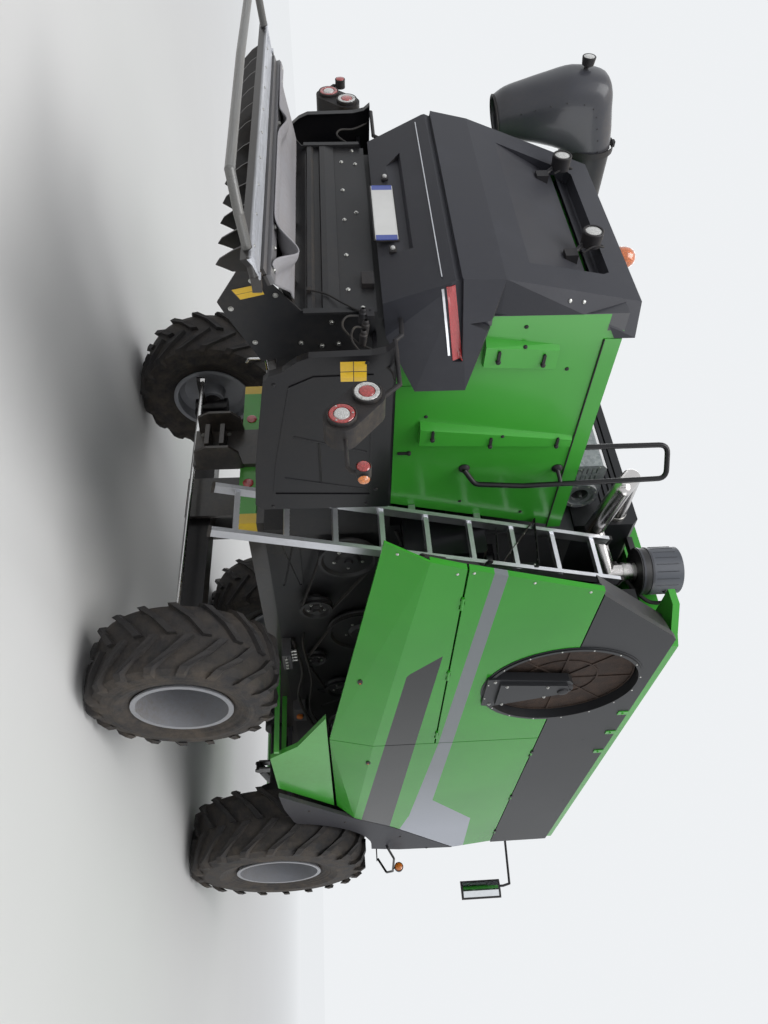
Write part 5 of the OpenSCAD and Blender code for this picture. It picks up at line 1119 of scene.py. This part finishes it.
# Seat: padded cushions, inflated as cloth
def pad(name, outline, y0, y1, mat, cap=0.014):
    """A pad filled out from its outline by pressure, each point by no more than cap metres."""
    prism([P(x, y0, z) for x, z in outline], V(0, y1 - y0, 0))
    bmesh.ops.recalc_face_normals(bm, faces=bm.faces)
    bmesh.ops.bevel(bm, geom=bm.edges[:], offset=0.018, segments=3, affect="EDGES")
    ob = placed(name, taken(name))
    r = ob.modifiers.new("remesh", "REMESH")
    r.mode, r.voxel_size = "VOXEL", 0.015
    new = bpy.data.meshes.new_from_object(ob.evaluated_get(bpy.context.evaluated_depsgraph_get()))
    ob.modifiers.clear()
    ob.data = new
    start = [v.co.copy() for v in new.vertices]
    c = ob.modifiers.new("cloth", "CLOTH")
    c.settings.use_pressure = True
    c.settings.uniform_pressure_force = 4.0
    c.settings.effector_weights.gravity = 0.0
    c.point_cache.frame_start, c.point_cache.frame_end = 1, 20
    for f in range(1, 21):
        scene.frame_set(f)
    got = ob.evaluated_get(bpy.context.evaluated_depsgraph_get())
    moved = [v.co.copy() for v in got.data.vertices]
    ob.modifiers.clear()
    scene.frame_set(1)
    for v, a, b in zip(new.vertices, start, moved):
        d = b - a
        v.co = a + (d.normalized() * min(d.length, cap) if d.length > 1e-9 else d)
    ob.modifiers.new("smooth", "SUBSURF").levels = 1
    ob.modifiers["smooth"].render_levels = 1
    new.polygons.foreach_set("use_smooth", [True] * len(new.polygons))
    new.materials.append(M[mat])
    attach(ob, BODY)


pad("seat_cushion", [(4444, 2334), (4966, 2334), (4966, 2486), (4444, 2486)], -256, 256, "seat_cloth")
for s, w in SIDES:
    pad("seat_bolster_" + w, [(4490, 2440), (4950, 2440), (4912, 2524), (4552, 2524)], *sorted((s * 172, s * 258)),
        "seat_cloth", 0.008)
    pad("arm_rest_" + w, [(4492, 2634), (4868, 2634), (4868, 2698), (4492, 2698)], *sorted((s * 253, s * 337)),
        "seat_piping", 0.008)
pad("seat_back", [(4454, 2478), (4578, 2478), (4508, 3088), (4474, 3140), (4412, 3140), (4392, 3060)], -248, 248,
    "seat_cloth")
for s, w in SIDES:
    for way in (((4500, 2497), (4600, 2501.5), (4750, 2502.5), (4900, 2499.5), (4955, 2490)),
                ((4574, 2600), (4560, 2750), (4543, 2900), (4524, 3050))):
        tube(smooth_path(wall(s, 150, *way), 4), 4, 8)
piece("seat_seams", "seat_piping")

# Filling auger in the tank, and ribs on its floor
FOOT, HEAD, TURNS, STEPS = P(1600, 200, 2420), P(2350, -150, 3620), 7, 120
tube([FOOT, P(1950, 50, 3000), HEAD], 30, 12)
ax = frame_of(HEAD - FOOT)
rows = []
for k in range(STEPS + 1):
    c, a = FOOT.lerp(HEAD, k / STEPS), TAU * TURNS * k / STEPS
    e = ax[0] * math.cos(a) + ax[1] * math.sin(a)
    rows.append([c + e * r + ax[2] * h for r, h in ((0.028, 0), (0.125, 0), (0.125, 0.004), (0.028, 0.004))])
skin(rows)
piece("tank_auger", "alu")
for x in (1750, 2250, 2750, 3250):
    slab(P(x - 20, -592, 2374.8), P(x + 20, 492, 2386))
    bolt(P(x, 0, 2386), UP, 10)
piece("tank_floor_ribs", "green", bevel=2)

# Feeder house: hoses with their coupler, and bolts on its channels
SLOPE_C, SLOPE_S = math.cos(math.radians(24)), math.sin(math.radians(24))


def on_feeder(u, y, w):
    """A point u down along the feeder house and w above its middle."""
    return P(4450 + u * SLOPE_C + w * SLOPE_S, y, 1560 - u * SLOPE_S + w * SLOPE_C)


for y in (400, 440, 480):
    tube(smooth_path([on_feeder(u, y + off, w) for u, off, w in ((100, 0, 262), (300, 0, 285), (600, 0, 292),
                          (1000, 0, 288), (1350, 10, 290), (1620, 20, 280))], 6), 11, 8)
at = on_feeder(1600, 380, 262)
slab(at, at + V(100, 160, 75))
piece("feeder_hoses", "rubber", "feeder_house", bevel=2)
for u in (510, 1080, 1590):
    for y in (-550, -250, 0, 250, 550):
        bolt(on_feeder(u, y, 284), (SLOPE_S, 0, SLOPE_C), 9)
    for s, w in SIDES:
        for h in (-150, 0, 150):
            bolt(on_feeder(u, s * 634, h), (0, s, 0), 9)
piece("feeder_bolts", "zinc", "feeder_house")

# Unloading tube's clamp screws, the lids' handles, treads and posts of the steps
for x in (-1235, 1115, 2915):
    for s, w in SIDES:
        lathe([(0, 9), (24, 9), (26, 6), (26, 0)], P(x, 1240 + s * 178, 3350), UP, 12)
piece("auger_clamps", "zinc", "unloading_auger")
for w, y in (("right", -320), ("left", -80)):
    for x in (1900, 3100):
        tube(filleted(pts((x - 70, y, 3871.5), (x - 70, y, 3903.5), (x + 70, y, 3903.5), (x + 70, y, 3871.5)), 12), 6, 8)
    piece("lid_handles_" + w, "plastic_black", "tank_lid_" + w)
for z in range(545, 1666, 280):
    for x in range(5030, 5416, 35):
        slab(P(x, 1443, z), P(x + 10, 1478, z + 3.5))
for x, end in ((4980, 5000), (5480, 5460)):
    tube(filleted(pts((x, 1460, 1900), (x, 1460, 2850), (x, 1460, 2950), (end, 1460, 2960)), 20), 13)
piece("step_treads", "alu")

# Hook beside the left rear wheel, the clevis' bolts and the round reflectors
tube(filleted(pts((-660, 620, 1150), (-760, 700, 1155), (-870, 700, 1150), (-870, 700, 1030), (-835, 700, 1010)), 20), 9)
lathe([(0, 22), (8, 22), (10, 16)], P(-650.5, 600, 1140), BACK, 18)
piece("tow_hook", "chrome")
for y, z in ((-120, 900), (120, 900), (-120, 720), (120, 720)):
    bolt(onto("chassis_frame", P(-1200, y, z), FORWARD)[0], BACK, 10)
piece("clevis_bolts", "zinc")
at = onto("chassis_frame", P(-1200, 300, 1050), FORWARD)[0]
for y in (0.30, -0.30):
    lathe([(0, 36), (6, 36), (9, 30), (9, 0)], (at.x, y, 1.045), BACK, 28)
piece("round_reflectors", "reflector")


# Floor, backdrop and light
def floor_paint(name, colour, far):
    """Pale floor; away from the object the camera sees it in the backdrop's colour."""
    s = Shader(name, 0.9, 0.0, 0.0, 0.2)
    m = s.done(s.mix(s.noise(0.8, 5.0), shade(colour, 0.96), colour))
    away = s.n("ShaderNodeVectorMath", {"operation": "LENGTH"}, i0=s.co).outputs["Value"]
    glow = s.n("ShaderNodeEmission", Color=far, Strength=1.0)
    both = s.n("ShaderNodeMixShader", i0=s.mul(backdrop_rays(s.t), s.ramp(away, 6.5, 20.0)), i1=s.p.outputs[0],
               i2=glow.outputs[0])
    put(s.t, s.t.nodes["Material Output"].inputs["Surface"], both.outputs[0])
    return m


me = bpy.data.meshes.new("floor")
me.from_pydata([(-40, -40, 0), (40, -40, 0), (40, 40, 0), (-40, 40, 0)], [], [(0, 1, 2, 3)])
floor = placed("floor", me)
floor.data.materials.append(floor_paint("floor_grey", (0.66, 0.655, 0.64), (0.82, 0.84, 0.86)))
world = bpy.data.worlds.new("soft_sky")
scene.world = world
world.use_nodes = True
sky = world.node_tree
light = sky.nodes["Background"]
put(sky, light.inputs["Color"], (0.93, 0.95, 1.0))
put(sky, light.inputs["Strength"], 0.62)
seen = add(sky, "ShaderNodeBackground", Color=(0.86, 0.88, 0.90), Strength=1.0)
mixed = add(sky, "ShaderNodeMixShader", i0=backdrop_rays(sky), i1=light.outputs[0], i2=seen.outputs[0])
put(sky, sky.nodes["World Output"].inputs["Surface"], mixed.outputs[0])


def lamp(name, at, to, size, power):
    d = bpy.data.lights.new(name, "AREA")
    d.shape = "RECTANGLE"
    d.size, d.size_y, d.energy = size, size, power
    o = placed(name, d)
    o.location = at
    o.rotation_mode = "QUATERNION"
    o.rotation_quaternion = (Vector(to) - Vector(at)).to_track_quat("-Z", "Y")


lamp("key", (-9.0, -3.0, 13.0), (-0.5, 0.0, 1.8), 9.0, 1500.0)
lamp("side", (3.0, -14.0, 7.0), (0.5, 0.0, 1.8), 8.0, 450.0)
lamp("far", (6.0, 12.0, 9.0), (0.5, 0.0, 1.8), 9.0, 420.0)
scene.view_settings.view_transform = "Standard"
